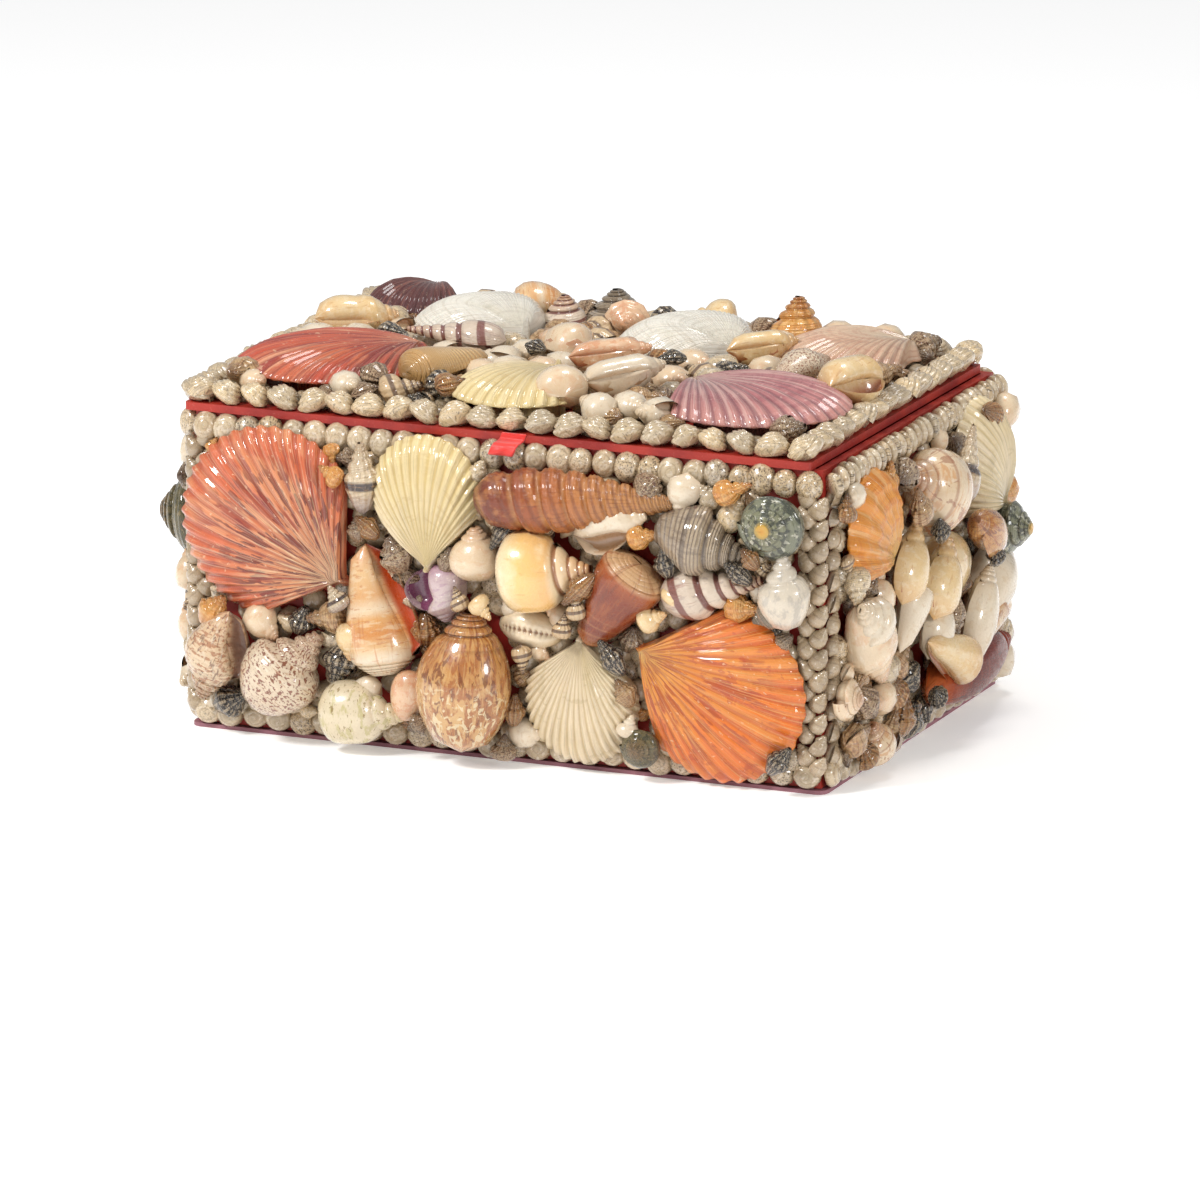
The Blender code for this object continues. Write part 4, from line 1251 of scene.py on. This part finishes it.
def coils():
    """The large coiled shells: name, face, form, tip, base, width, roll, look, -1 for a left hand."""
    rows = (
        ("orange_lipped_conch", FRONT, "lipped", (-43, 30, 12), (-54, 80, 8), 28, 192, "orange_lip", -1),
        ("purple_snail", FRONT, "wide", (-19, 53, 10), (-25, 75, 10), 23, -20, "purple"),
        ("cream_moon_snail", FRONT, "moon", (-8, 92, 10), (-8, 70, 9), 20, 150, "cream_moon"),
        ("tall_volute", FRONT, "volute", (-8, 61, 14), (-11.5, 5, 16), 37, 160, "flame"),
        ("mottled_turban", FRONT, "tun", (-31, 17, 14), (-70, 14, 15), 25, 160, "white_green_turban"),
        ("frog_shell", FRONT, "frog", (-69, 46, 11), (-98, 14, 15), 32, 165, "dashed"),
        ("helmet_shell", FRONT, "helmet", (-120, 13, 14), (-107, 50, 15), 26, 188, "helmet", -1),
        ("turret_shell", FRONT, "turret", (82, 108, 9), (-6, 103, 14), 22, 140, "turret"),
        ("tan_moon_snail", FRONT, "tun", (43.5, 79.5, 12), (3, 75, 15), 32, 170, "tan_moon"),
        ("brown_cone", FRONT, "cone", (61, 85, 13), (36, 50, 10), 27, 170, "brown_cone"),
        ("grey_whelk", FRONT, "grey", (103, 89, 11), (65, 99, 12), 26, 170, "grey_whelk"),
        ("green_turban", FRONT, "turban", (112.5, 104, 25), (112.5, 104, 7), 26, 0, "green_turban"),
        ("striped_whelk", FRONT, "swollen", (112, 83, 10), (68, 71, 10), 20, 170, "striped"),
        ("right_moon_snail", RIGHT, "moon", (-24, 108, 10), (10, 92, 12), 32, 170, "swirl"),
        ("right_conch", RIGHT, "whelk", (-52, 34, 11), (-78, 70, 9), 25, 170, "cream_moon"),
        ("right_brown_olive", RIGHT, "volute", (78, 22, 11.5), (-14, 22, 12.5), 24, 160, "dark_brown"),
        ("right_white_olive", RIGHT, "volute", (74, 58, 12), (34, 42, 13), 24, 160, "white_gloss"),
        ("lid_orange_snail", LID, "moon", (-88, 26, 13), (-117, 8, 13), 24, 0, "golden"),
        ("lid_tan_cone", LID, "cone", (-48, -62, 13), (-30, -24, 13), 19, 170, "tan_ribs"),
        ("lid_back_turban", LID, "turban", (-14, 64, 23), (-14, 64, 1), 24, 0, "grey_whelk"),
        ("lid_spire_snail", LID, "turban", (60, 68, 26), (60, 64, 0.5), 21, 0, "orange_snail"),
        ("left_turban", LEFT, "turban", (65, 77, 27), (62, 77, 1), 34, 0, "moss_turban"),
    )
    for name, face, form, tip, base, width, roll, look, *hand in rows:
        skin = Skin()
        detail = LONG if form == "turret" else FINE
        coil(skin, face, form, tip, base, width, roll, detail, 0.85, tint_of(name), *hand)
        skin.make(name + "_shell", look, name, name)


def eggs():
    """The cowrie with its toothed slit, and the smooth egg-shaped shell of the right wall."""
    skin = Skin()
    egg(skin, FRONT, (13, 53), (25, 14, 11), -5, 0.3, 0.3, detail=(90, 40), tint=0.3)
    skin.make("cowrie_shell", "cowrie", "cowrie", "cowrie")
    skin = Skin()
    egg(skin, RIGHT, (4, 65), (42, 27, 20), 5, 0.3, point=0.12, tint=0.6)
    skin.make("right_tan_shell_egg", "golden", "right_tan_shell", "right_tan_shell")


# The medium shells that only the looks have: face, form, tip, base, width, roll, look
MEDIUM = (
    (FRONT, "whelk", (-55, 121, 10), (-54, 91, 9), 14, 170, "banded"),
    (FRONT, "moon", (-57, 35, 15), (-56, 51, 13), 14, 170, "golden"),
    (FRONT, "snail", (-66, 65, 16), (-60, 55, 15), 10, 170, "banded"),
    (FRONT, "whelk", (-109, 56, 14), (-119, 43, 13), 12, 160, "orange_snail"),
    (FRONT, "ribbed", (-58, 91, 10), (-47, 83, 10), 9, 170, "amber"),
    (FRONT, "ribbed", (-57, 91, 9), (-56, 80, 9), 9, 170, "speckled"),
    (FRONT, "snail", (-71, 110, 14), (-61, 104, 13), 9, 170, "orange_snail"),
    (FRONT, "wide", (63, 103, 13), (32, 92, 11), 17, 350, "white_gloss"),
    (FRONT, "ribbed", (30, 66, 19), (44, 80, 18), 9, 170, "amber"),
    (FRONT, "ribbed", (29, 97, 12), (17, 94, 12), 8, 170, "speckled"),
    (FRONT, "ribbed", (-1, 83, 14), (9, 97, 13), 8, 170, "nassa"),
    (FRONT, "snail", (69, 97, 14), (55, 93, 13), 10, 170, "orange_snail"),
    (FRONT, "ribbed", (69, 93, 15), (72, 80, 14), 10, 170, "nassa"),
    (FRONT, "snail", (78, 81, 14), (73, 70, 13), 12, 170, "golden"),
    (FRONT, "snail", (36, 73, 18), (36, 61, 17), 8, 170, "stripy"),
    (FRONT, "snail", (31, 64, 16), (29, 53, 16), 8, 170, "stripy"),
    (FRONT, "snail", (105, 119, 12), (89, 112, 12), 10, 170, "orange_snail"),
    (FRONT, "frog", (117, 97, 15), (118, 64, 12), 21, 170, "pale"),
    (FRONT, "ribbed", (93, 89, 15), (105, 81, 14), 9, 170, "nassa"),
    (FRONT, "ribbed", (102, 96, 19), (109, 88, 18), 8, 170, "amber"),
    (FRONT, "snail", (104, 66, 13), (113, 71, 13), 11, 170, "grey_whelk"),
    (FRONT, "snail", (72, 67, 15), (60, 62, 14), 11, 170, "golden"),
    (FRONT, "snail", (12, 36, 12), (11, 48, 12), 8, 170, "stripy"),
    (FRONT, "ribbed", (9, 30, 12), (8, 16, 12), 9, 170, "amber"),
    (FRONT, "snail", (5, 14, 13), (4, 3, 12), 11, 170, "speckled"),
    (FRONT, "ribbed", (43, 55, 15), (54, 41, 14), 10, 170, "nassa"),
    (FRONT, "ribbed", (50, 40, 14), (57, 29, 13), 9, 170, "tan_bands"),
    (FRONT, "snail", (57, 27, 13), (54, 17, 13), 9, 170, "white_gloss"),
    (FRONT, "turban", (60, 14, 20), (60, 14, 9), 16, 0, "moss_turban"),
    (FRONT, "ribbed", (121, 21, 14), (111, 9, 13), 9, 170, "nassa"),
    (FRONT, "snail", (3, 58, 20), (-5, 66, 19), 9, 170, "golden"),
    (FRONT, "snail", (-14, 70, 17), (-10, 60, 17), 8, 170, "stripy"),
    (FRONT, "ribbed", (-33, 12, 18), (-25, 17, 17), 8, 170, "speckled"),
    (FRONT, "ribbed", (-17, 84, 12), (-20, 72, 12), 8, 170, "speckled"),
    (FRONT, "wide", (-60, 22, 12), (-46, 27, 11), 10, 170, "white_gloss"),
    (RIGHT, "spire", (22, 121, 18), (10, 90, 17), 14, 170, "banded"),
    (RIGHT, "whelk", (-84, 72, 13), (-60, 56, 15), 19, 170, "white_gloss"),
    (RIGHT, "cone", (-26, 68, 14), (-42, 44, 13), 17, 170, "white_gloss"),
    (RIGHT, "ribbed", (-3, 38, 20), (3, 58, 17), 11, 170, "speckled"),
    (RIGHT, "volute", (14, 84, 22), (46, 66, 17), 18, 200, "flame"),
    (RIGHT, "turban", (60, 70, 28), (60, 70, 10), 22, 0, "green_turban"),
    (RIGHT, "moon", (-62, 22, 10), (-54, 6, 9), 18, 150, "swirl"),
    (RIGHT, "turban", (-83, 36, 15), (-83, 36, 4), 17, 0, "cream_moon"),
    (RIGHT, "cone", (8, 29, 22), (-26, 45, 18), 19, 20, "golden"),
    (RIGHT, "moon", (-24, 92, 13), (-40, 62, 13), 18, 170, "golden"),
    (RIGHT, "volute", (-4, 58, 16), (-18, 36, 15), 17, 170, "white_gloss"),
    (RIGHT, "volute", (27, 64, 23), (10, 27, 20), 17, 170, "white_gloss"),
    (RIGHT, "moon", (-4, 82, 18), (-20, 52, 18), 19, 170, "golden"),
    (RIGHT, "cone", (52, 44, 16), (24, 24, 15), 16, 20, "swirl"),
    (RIGHT, "turret", (40, 120, 14), (60, 112, 12), 9, 170, "amber"),
    (RIGHT, "ribbed", (-20, 92, 20), (-15, 81, 19), 9, 170, "nassa"),
    (RIGHT, "ribbed", (-24, 26, 20), (-14, 19, 19), 9, 170, "nassa"),
    (RIGHT, "ribbed", (30, 71, 24), (34, 61, 22), 9, 170, "nassa"),
    (RIGHT, "snail", (-83, 115, 8), (-85, 103, 8), 10, 170, "amber"),
    (RIGHT, "snail", (-38, 108, 18), (-28, 92, 16), 12, 170, "tan_bands"),
    (RIGHT, "snail", (-72, 16, 10), (-64, 8, 9), 12, 170, "amber"),
    (LID, "wide", (34, -14, 20), (4, -27, 16), 17, 350, "peach"),
    (LID, "wide", (47, -33, 19), (24, -60, 15), 20, 350, "white_gloss"),
    (LID, "wide", (119, 2, 16), (110, -26, 14), 25, 10, "golden"),
    (LID, "whelk", (92, 20, 14), (84, -12, 12), 18, 170, "dashed"),
    (LID, "wide", (74, 34, 16), (50, 18, 13), 18, 350, "golden"),
    (LID, "spire", (-76, -6, 16), (-32, -2, 14), 15, 170, "striped"),
    (LID, "snail", (-14, 24, 14), (-6, 8, 13), 13, 170, "purple"),
    (LID, "moon", (10, -50, 15), (22, -72, 12), 20, 170, "cream_moon"),
    (LID, "ribbed", (34, -14, 15), (43, -4, 14), 9, 170, "nassa"),
    (LID, "ribbed", (-20, -13, 16), (-10, -16, 15), 8, 170, "nassa"),
    (LID, "wide", (-22, 6, 15), (2, 0, 14), 18, 170, "cream_moon"),
    (LID, "snail", (8, -12, 16), (24, -4, 14), 15, 170, "orange_snail"),
    (LID, "wide", (-34, 72, 13), (-58, 60, 12), 21, 170, "orange_lip"),
    (LID, "snail", (12, 62, 14), (34, 70, 13), 18, 170, "golden"),
    (LID, "ribbed", (-2, 42, 14), (-8, 62, 13), 17, 170, "peach"),
    (LID, "turban", (-30, 50, 22), (-30, 50, 4), 18, 0, "striped"),
    (LID, "snail", (-18, -64, 13), (-30, -74, 11), 12, 170, "amber"),
    (LID, "ribbed", (-66, -62, 13), (-52, -70, 11), 12, 170, "speckled"),
    (LEFT, "moon", (-66, 100, 8), (-44, 108, 9), 20, 170, "swirl"),
    (LEFT, "volute", (-74, 26, 8), (-34, 20, 9), 20, 170, "flame"),
    (LEFT, "cone", (64, 26, 8), (28, 32, 8), 20, 170, "brown_cone"),
    (LEFT, "whelk", (24, 52, 8), (36, 78, 9), 17, 170, "grey_whelk"),
    (BACK, "volute", (0, 26, 8), (0, 76, 9), 24, 170, "flame"),
    (BACK, "turret", (-60, 18, 8), (-6, 14, 8), 15, 140, "turret"),
    (BACK, "cone", (52, 20, 8), (14, 18, 8), 18, 170, "brown_cone"),
    (BACK, "moon", (-12, 104, 8), (10, 100, 9), 22, 170, "tan_moon"),
    (BACK, "whelk", (-112, 20, 8), (-84, 20, 9), 17, 170, "dashed"),
    (BACK, "whelk", (112, 20, 8), (84, 20, 9), 17, 170, "helmet"),
)

# Smooth egg-shaped shells: face, centre, (length, width, height), turn, lift, look
PEBBLES = ((FRONT, (-34, 24.5), (20, 13.5, 11), 82, 9, "peach"),)


def medium():
    """The medium shells, one piece for each side and finish."""
    skins = {}
    for k, (face, form, tip, base, width, roll, look) in enumerate(MEDIUM):
        skin = skins.setdefault((face.name, look), Skin())
        coil(skin, face, form, tip, base, width, roll, MIDDLE, tint=(k * 0.37) % 1)
    for k, (face, centre, size, turn, lift, look) in enumerate(PEBBLES):
        skin = skins.setdefault((face.name, look), Skin())
        egg(skin, face, centre, size, turn, lift, point=0.12, detail=(18, 24), tint=(k * 0.29) % 1)
    for (side, look), skin in skins.items():
        skin.make(f"{side}_medium_{look}", look, "button_shells")


# Rows of button shells

HALF_WIDTH, HALF_DEPTH = 127.0, 88.0
RIM_DOWN, FOOT_UP = 4.9, 4.8
# Pitch, size (along, up, out), distance out and slant of a button in a row
FLAT_ROW = (9.2, (10.4, 11.6, 4.2), 2.0, 12.0)
COIN_ROW = (5.4, (9.0, 10.6, 3.4), 3.6, 58.0)
FOOT_PITCH, FOOT_SIZE = 9.6, (11.0, 10.4, 4.2)
CORNER_LOW, CORNER_HIGH = 11.0, 114.0
OVAL_PITCH, OVAL_WIDTH = 8.2, 7.0
LID_PITCH, LID_BUTTON = 11.4, 12.4


def row_of_buttons(skin, face, start, end, height, pitch, size, rng, out=2.0, slant=12.0):
    """A row of buttons along a face, each turned its own way and leaning on the next."""
    count = max(2, round((end - start) / pitch))
    step = (end - start) / count
    for k in range(count):
        centre = (start + step * (k + 0.5), height + rng.uniform(-0.3, 0.3), out)
        grown = rng.uniform(0.94, 1.08)
        tilt = (slant + rng.uniform(-8, 8), rng.uniform(-14, 6))
        rise = size[2] * rng.uniform(0.85, 1.0)
        wide = (size[0] * grown, size[1] * grown)
        button(skin, face, centre, wide, rise, rng.uniform(0, TURN), tilt, rng.uniform())


def column_of_ovals(skin, face, along, lean, start, rng):
    """A column of small slanted ovals, like a braid."""
    for k in range(round((CORNER_HIGH - CORNER_LOW) / OVAL_PITCH)):
        middle = CORNER_LOW + OVAL_PITCH * (k + start)
        grown = rng.uniform(0.95, 1.08)
        length = np.array((lean * 2.7, 4.3, 0.4)) * grown
        spot = np.array((along, middle, 2.4))
        turn = rng.uniform(120, 240)
        ends = (spot + length, spot - length)
        coil(skin, face, "moon", *ends, OVAL_WIDTH * grown, turn, SMALL, tint=rng.uniform())


def rows():
    """The rim, foot and lid rows and the corner columns, each in the place of its CAD nodes."""
    rng = np.random.default_rng(11)
    rim, foot = WALLS_HIGH[2] / MM - RIM_DOWN, WALLS_LOW[2] / MM + FOOT_UP
    for face in (FRONT, RIGHT, BACK, LEFT):
        wide = face in (FRONT, BACK)
        half = HALF_WIDTH if wide else HALF_DEPTH
        # Seen along the wall, the rim row of the sides looks like a stack of coins
        pitch, size, out, slant = FLAT_ROW if wide else COIN_ROW
        skin = Skin()
        row_of_buttons(skin, face, -half, half, rim, pitch, size, rng, out, slant)
        name = face.name
        skin.make(f"rim_buttons_{name}", "beads", "button_shells", f"rim_bead_row_{name}")
        skin = Skin()
        row_of_buttons(skin, face, -half, half, foot, FOOT_PITCH, FOOT_SIZE, rng)
        skin.make(f"foot_buttons_{name}", "beads", "button_shells", f"foot_bead_row_{name}")
    corners = (
        ("front_left", (FRONT, -121.6, 1), (FRONT, -127.2, -1), (LEFT, 82.8, -1)),
        ("front_right", (FRONT, 121.6, -1), (FRONT, 127.2, 1), (RIGHT, -82.8, 1)),
        ("back_right", (BACK, -121.6, 1), (BACK, -127.2, -1), (RIGHT, 82.8, -1)),
        ("back_left", (BACK, 121.6, -1), (BACK, 127.2, 1), (LEFT, -82.8, 1)),
    )
    for name, *columns in corners:
        skin = Skin()
        for start, (face, along, lean) in zip((0.5, 0.0, 0.5), columns):
            column_of_ovals(skin, face, along, lean, start, rng)
        skin.make(f"corner_ovals_{name}", "pearls", "button_shells", f"corner_beads_{name}")
    lid_row(rng)


def lid_row(rng):
    """The buttons along the lid's edges, which lean out over them."""
    edges = (
        ("front", (0, -HALF_DEPTH), (1, 0), (0, -1), HALF_WIDTH - 5),
        ("back", (0, HALF_DEPTH), (-1, 0), (0, 1), HALF_WIDTH - 5),
        ("right", (HALF_WIDTH, 0), (0, 1), (1, 0), HALF_DEPTH - 5),
        ("left", (-HALF_WIDTH, 0), (0, -1), (-1, 0), HALF_DEPTH - 5),
    )
    for name, edge, along, outward, half in edges:
        skin = Skin()
        edge, along, outward = (np.array((*vector, 0.0)) for vector in (edge, along, outward))
        count = round(2 * half / LID_PITCH)
        for k in range(count + 1):
            spot = edge - outward * 5.2 + along * (-half + 2 * half * k / count)
            grown = rng.uniform(0.95, 1.12)
            lean = along * rng.uniform(-0.7, 0.7) - outward * rng.uniform(0.3, 0.8) + (0, 0, 0.8)
            reach = unit(lean) * 5.0 * grown
            middle = spot + (0, 0, 5.0) + outward * 1.0
            turn = rng.uniform(150, 210)
            ends = (middle + reach, middle - reach)
            wide = LID_BUTTON * grown
            coil(skin, LID, "trochid", *ends, wide, turn, BEAD, 1.0, rng.uniform())
        skin.make(f"lid_buttons_{name}", "nacre", "button_shells", f"lid_bead_row_{name}")


# Small shells that fill the gaps

FILLERS = (
    ("ribbed", "amber", 1.5),
    ("snail", "tan_bands", 2),
    ("ribbed", "speckled", 2.5),
    ("ribbed", "nassa", 1.5),
    ("moon", "cream_moon", 3),
    ("snail", "orange_snail", 1.2),
    ("snail", "stripy", 2),
    ("turban", "nacre", 3.5),
    ("moon", "white_gloss", 3),
)
# The sheets to fill: half length, lowest, highest
LONG_SHEET = (117, 12, 112)
SHORT_SHEET = (78, 12, 112)
LID_SHEET = (115, -76, 76)
SMALLEST_GAP = 1.2
LARGEST_SMALL = 6.5
CARPET_PITCH = 8.0
LOW_BUTTON = (5, 11)
DEEP_UNDER = -3.6


def room_on(face, u, v, half, low, high):
    """How far each place is from the shells already on the sheet, and from its edges."""
    room = np.minimum(np.minimum(half - np.abs(u), v - low), high - v) + 3.0
    for x, y, radius in face.taken:
        room = np.minimum(room, np.hypot(u - x, v - y) - radius)
    return room


def carpet(face, half, low, high, rng):
    """Low buttons pressed onto the glue, so that no bare paper shows between the shells."""
    skin = Skin()
    lines = np.arange(low, high + 1, CARPET_PITCH * 0.87)
    for k, line in enumerate(lines):
        places = np.arange(-half + CARPET_PITCH / 2 * (k % 2), half + 1, CARPET_PITCH)
        spots = np.stack([places, 0 * places + line]) + rng.uniform(-0.8, 0.8, (2, len(places)))
        room = room_on(face, spots[0], spots[1], half, low, high)
        for x, y in spots[:, room > DEEP_UNDER].T:
            size = rng.uniform(9.0, 11.0, 2)
            tilt = rng.uniform(-16, 16, 2)
            rise, turn = rng.uniform(3.0, 4.6), rng.uniform(0, TURN)
            button(skin, face, (x, y, 1.4), size, rise, turn, tilt, rng.uniform(), LOW_BUTTON)
    skin.make(f"{face.name}_carpet", "beads", "button_shells")


def fill(face, half, low, high, seed, most):
    """Puts a small shell in the widest gap of a sheet, again and again, until none is left."""
    rng = np.random.default_rng(seed)
    carpet(face, half, low, high, rng)
    u, v = np.meshgrid(np.arange(-half, half + 1.0), np.arange(low, high + 1.0))
    room = room_on(face, u, v, half, low, high)
    weights = np.array([weight for _, _, weight in FILLERS], float)
    skins = {}
    for _ in range(most):
        k = int(room.argmax())
        gap = float(room.flat[k])
        if gap < SMALLEST_GAP:
            break
        spot = np.array((u.flat[k], v.flat[k]))
        size = min(1.2 * gap + 1.0, LARGEST_SMALL)
        form, look, _ = FILLERS[rng.choice(len(FILLERS), p=weights / weights.sum())]
        angle = rng.uniform(0, TURN)
        reach = np.array((math.cos(angle), math.sin(angle), 0.2)) * size * 1.45
        middle = np.array((*spot, 0.9 * size + 3.5))
        skin = skins.setdefault(look, Skin())
        turn = rng.uniform(100, 260)
        ends = (middle + reach, middle - reach)
        coil(skin, face, form, *ends, 2.2 * size, turn, SMALL, tint=rng.uniform())
        room = np.minimum(room, np.hypot(u - spot[0], v - spot[1]) - size * 1.05)
    for look, skin in skins.items():
        skin.make(f"{face.name}_small_{look}", look, "button_shells")


# Stage, light and camera

PHOTO_SIDE = 1200
AZIMUTH = math.radians(22.93)
ELEVATION = math.radians(14.3)
DISTANCE = 4.0
FOCAL_PIXELS = 10494
TARGET_HEIGHT = 0.060
TARGET_RIGHT = 0.000838
TARGET_UP = -0.018643


def camera():
    """The photograph's camera, from its angle, its distance and its focal length in pixels."""
    right = Vector((math.cos(AZIMUTH), math.sin(AZIMUTH), 0))
    level = math.cos(ELEVATION)
    back = (math.sin(AZIMUTH) * level, -math.cos(AZIMUTH) * level, math.sin(ELEVATION))
    back = Vector(back)
    up = back.cross(right)
    data = bpy.data.cameras.new("camera")
    data.sensor_width = 36.0
    data.lens = FOCAL_PIXELS / PHOTO_SIDE * data.sensor_width
    data.clip_end = 50.0
    made = bpy.data.objects.new("camera", data)
    bpy.context.scene.collection.objects.link(made)
    target = Vector((0, 0, TARGET_HEIGHT)) + right * TARGET_RIGHT + up * TARGET_UP
    turn = Matrix((right, up, back)).transposed().to_4x4()
    made.matrix_world = Matrix.Translation(target + back * DISTANCE) @ turn
    bpy.context.scene.camera = made


def area_light(name, place, size, power, colour=(1.0, 1.0, 1.0)):
    """A soft light that faces the box."""
    data = bpy.data.lights.new(name, "AREA")
    data.shape = "DISK"
    data.size = size
    data.energy = power
    data.color = colour
    made = bpy.data.objects.new(name, data)
    bpy.context.scene.collection.objects.link(made)
    made.location = place
    away = Vector(place) - Vector((0, 0, 0.06))
    made.rotation_euler = away.to_track_quat("Z", "Y").to_euler()


def studio():
    """A pale floor under an even white light, with a key from the upper left."""
    bm = bmesh.new()
    bmesh.ops.create_grid(bm, x_segments=1, y_segments=1, size=20.0)
    mesh = bpy.data.meshes.new("floor")
    bm.to_mesh(mesh)
    bm.free()
    floor = bpy.data.objects.new("floor", mesh)
    bpy.context.scene.collection.objects.link(floor)
    made, _, surface = new_material("floor")
    surface.inputs["Base Color"].default_value = (0.93, 0.93, 0.93, 1)
    surface.inputs["Roughness"].default_value = 0.9
    surface.inputs["Specular IOR Level"].default_value = 0.1
    surface.inputs["Emission Color"].default_value = (1, 1, 1, 1)
    surface.inputs["Emission Strength"].default_value = 0.3
    mesh.materials.append(made)
    world = bpy.data.worlds.new("studio")
    world.use_nodes = True
    world.node_tree.nodes["Background"].inputs["Color"].default_value = (1, 1, 1, 1)
    world.node_tree.nodes["Background"].inputs["Strength"].default_value = 0.42
    bpy.context.scene.world = world
    area_light("key", (-0.7, -1.1, 1.3), 0.4, 22)
    area_light("fill", (1.5, -0.8, 0.7), 0.4, 8)
    area_light("top", (0.2, 0.3, 1.8), 0.6, 10)
    bpy.context.scene.view_settings.view_transform = "Standard"


dress_boards()
ribbon()
fans()
coils()
eggs()
medium()
rows()
fill(FRONT, *LONG_SHEET, 1, 120)
fill(RIGHT, *SHORT_SHEET, 2, 90)
fill(BACK, *LONG_SHEET, 3, 90)
fill(LEFT, *SHORT_SHEET, 4, 60)
fill(LID, *LID_SHEET, 5, 130)
studio()
camera()
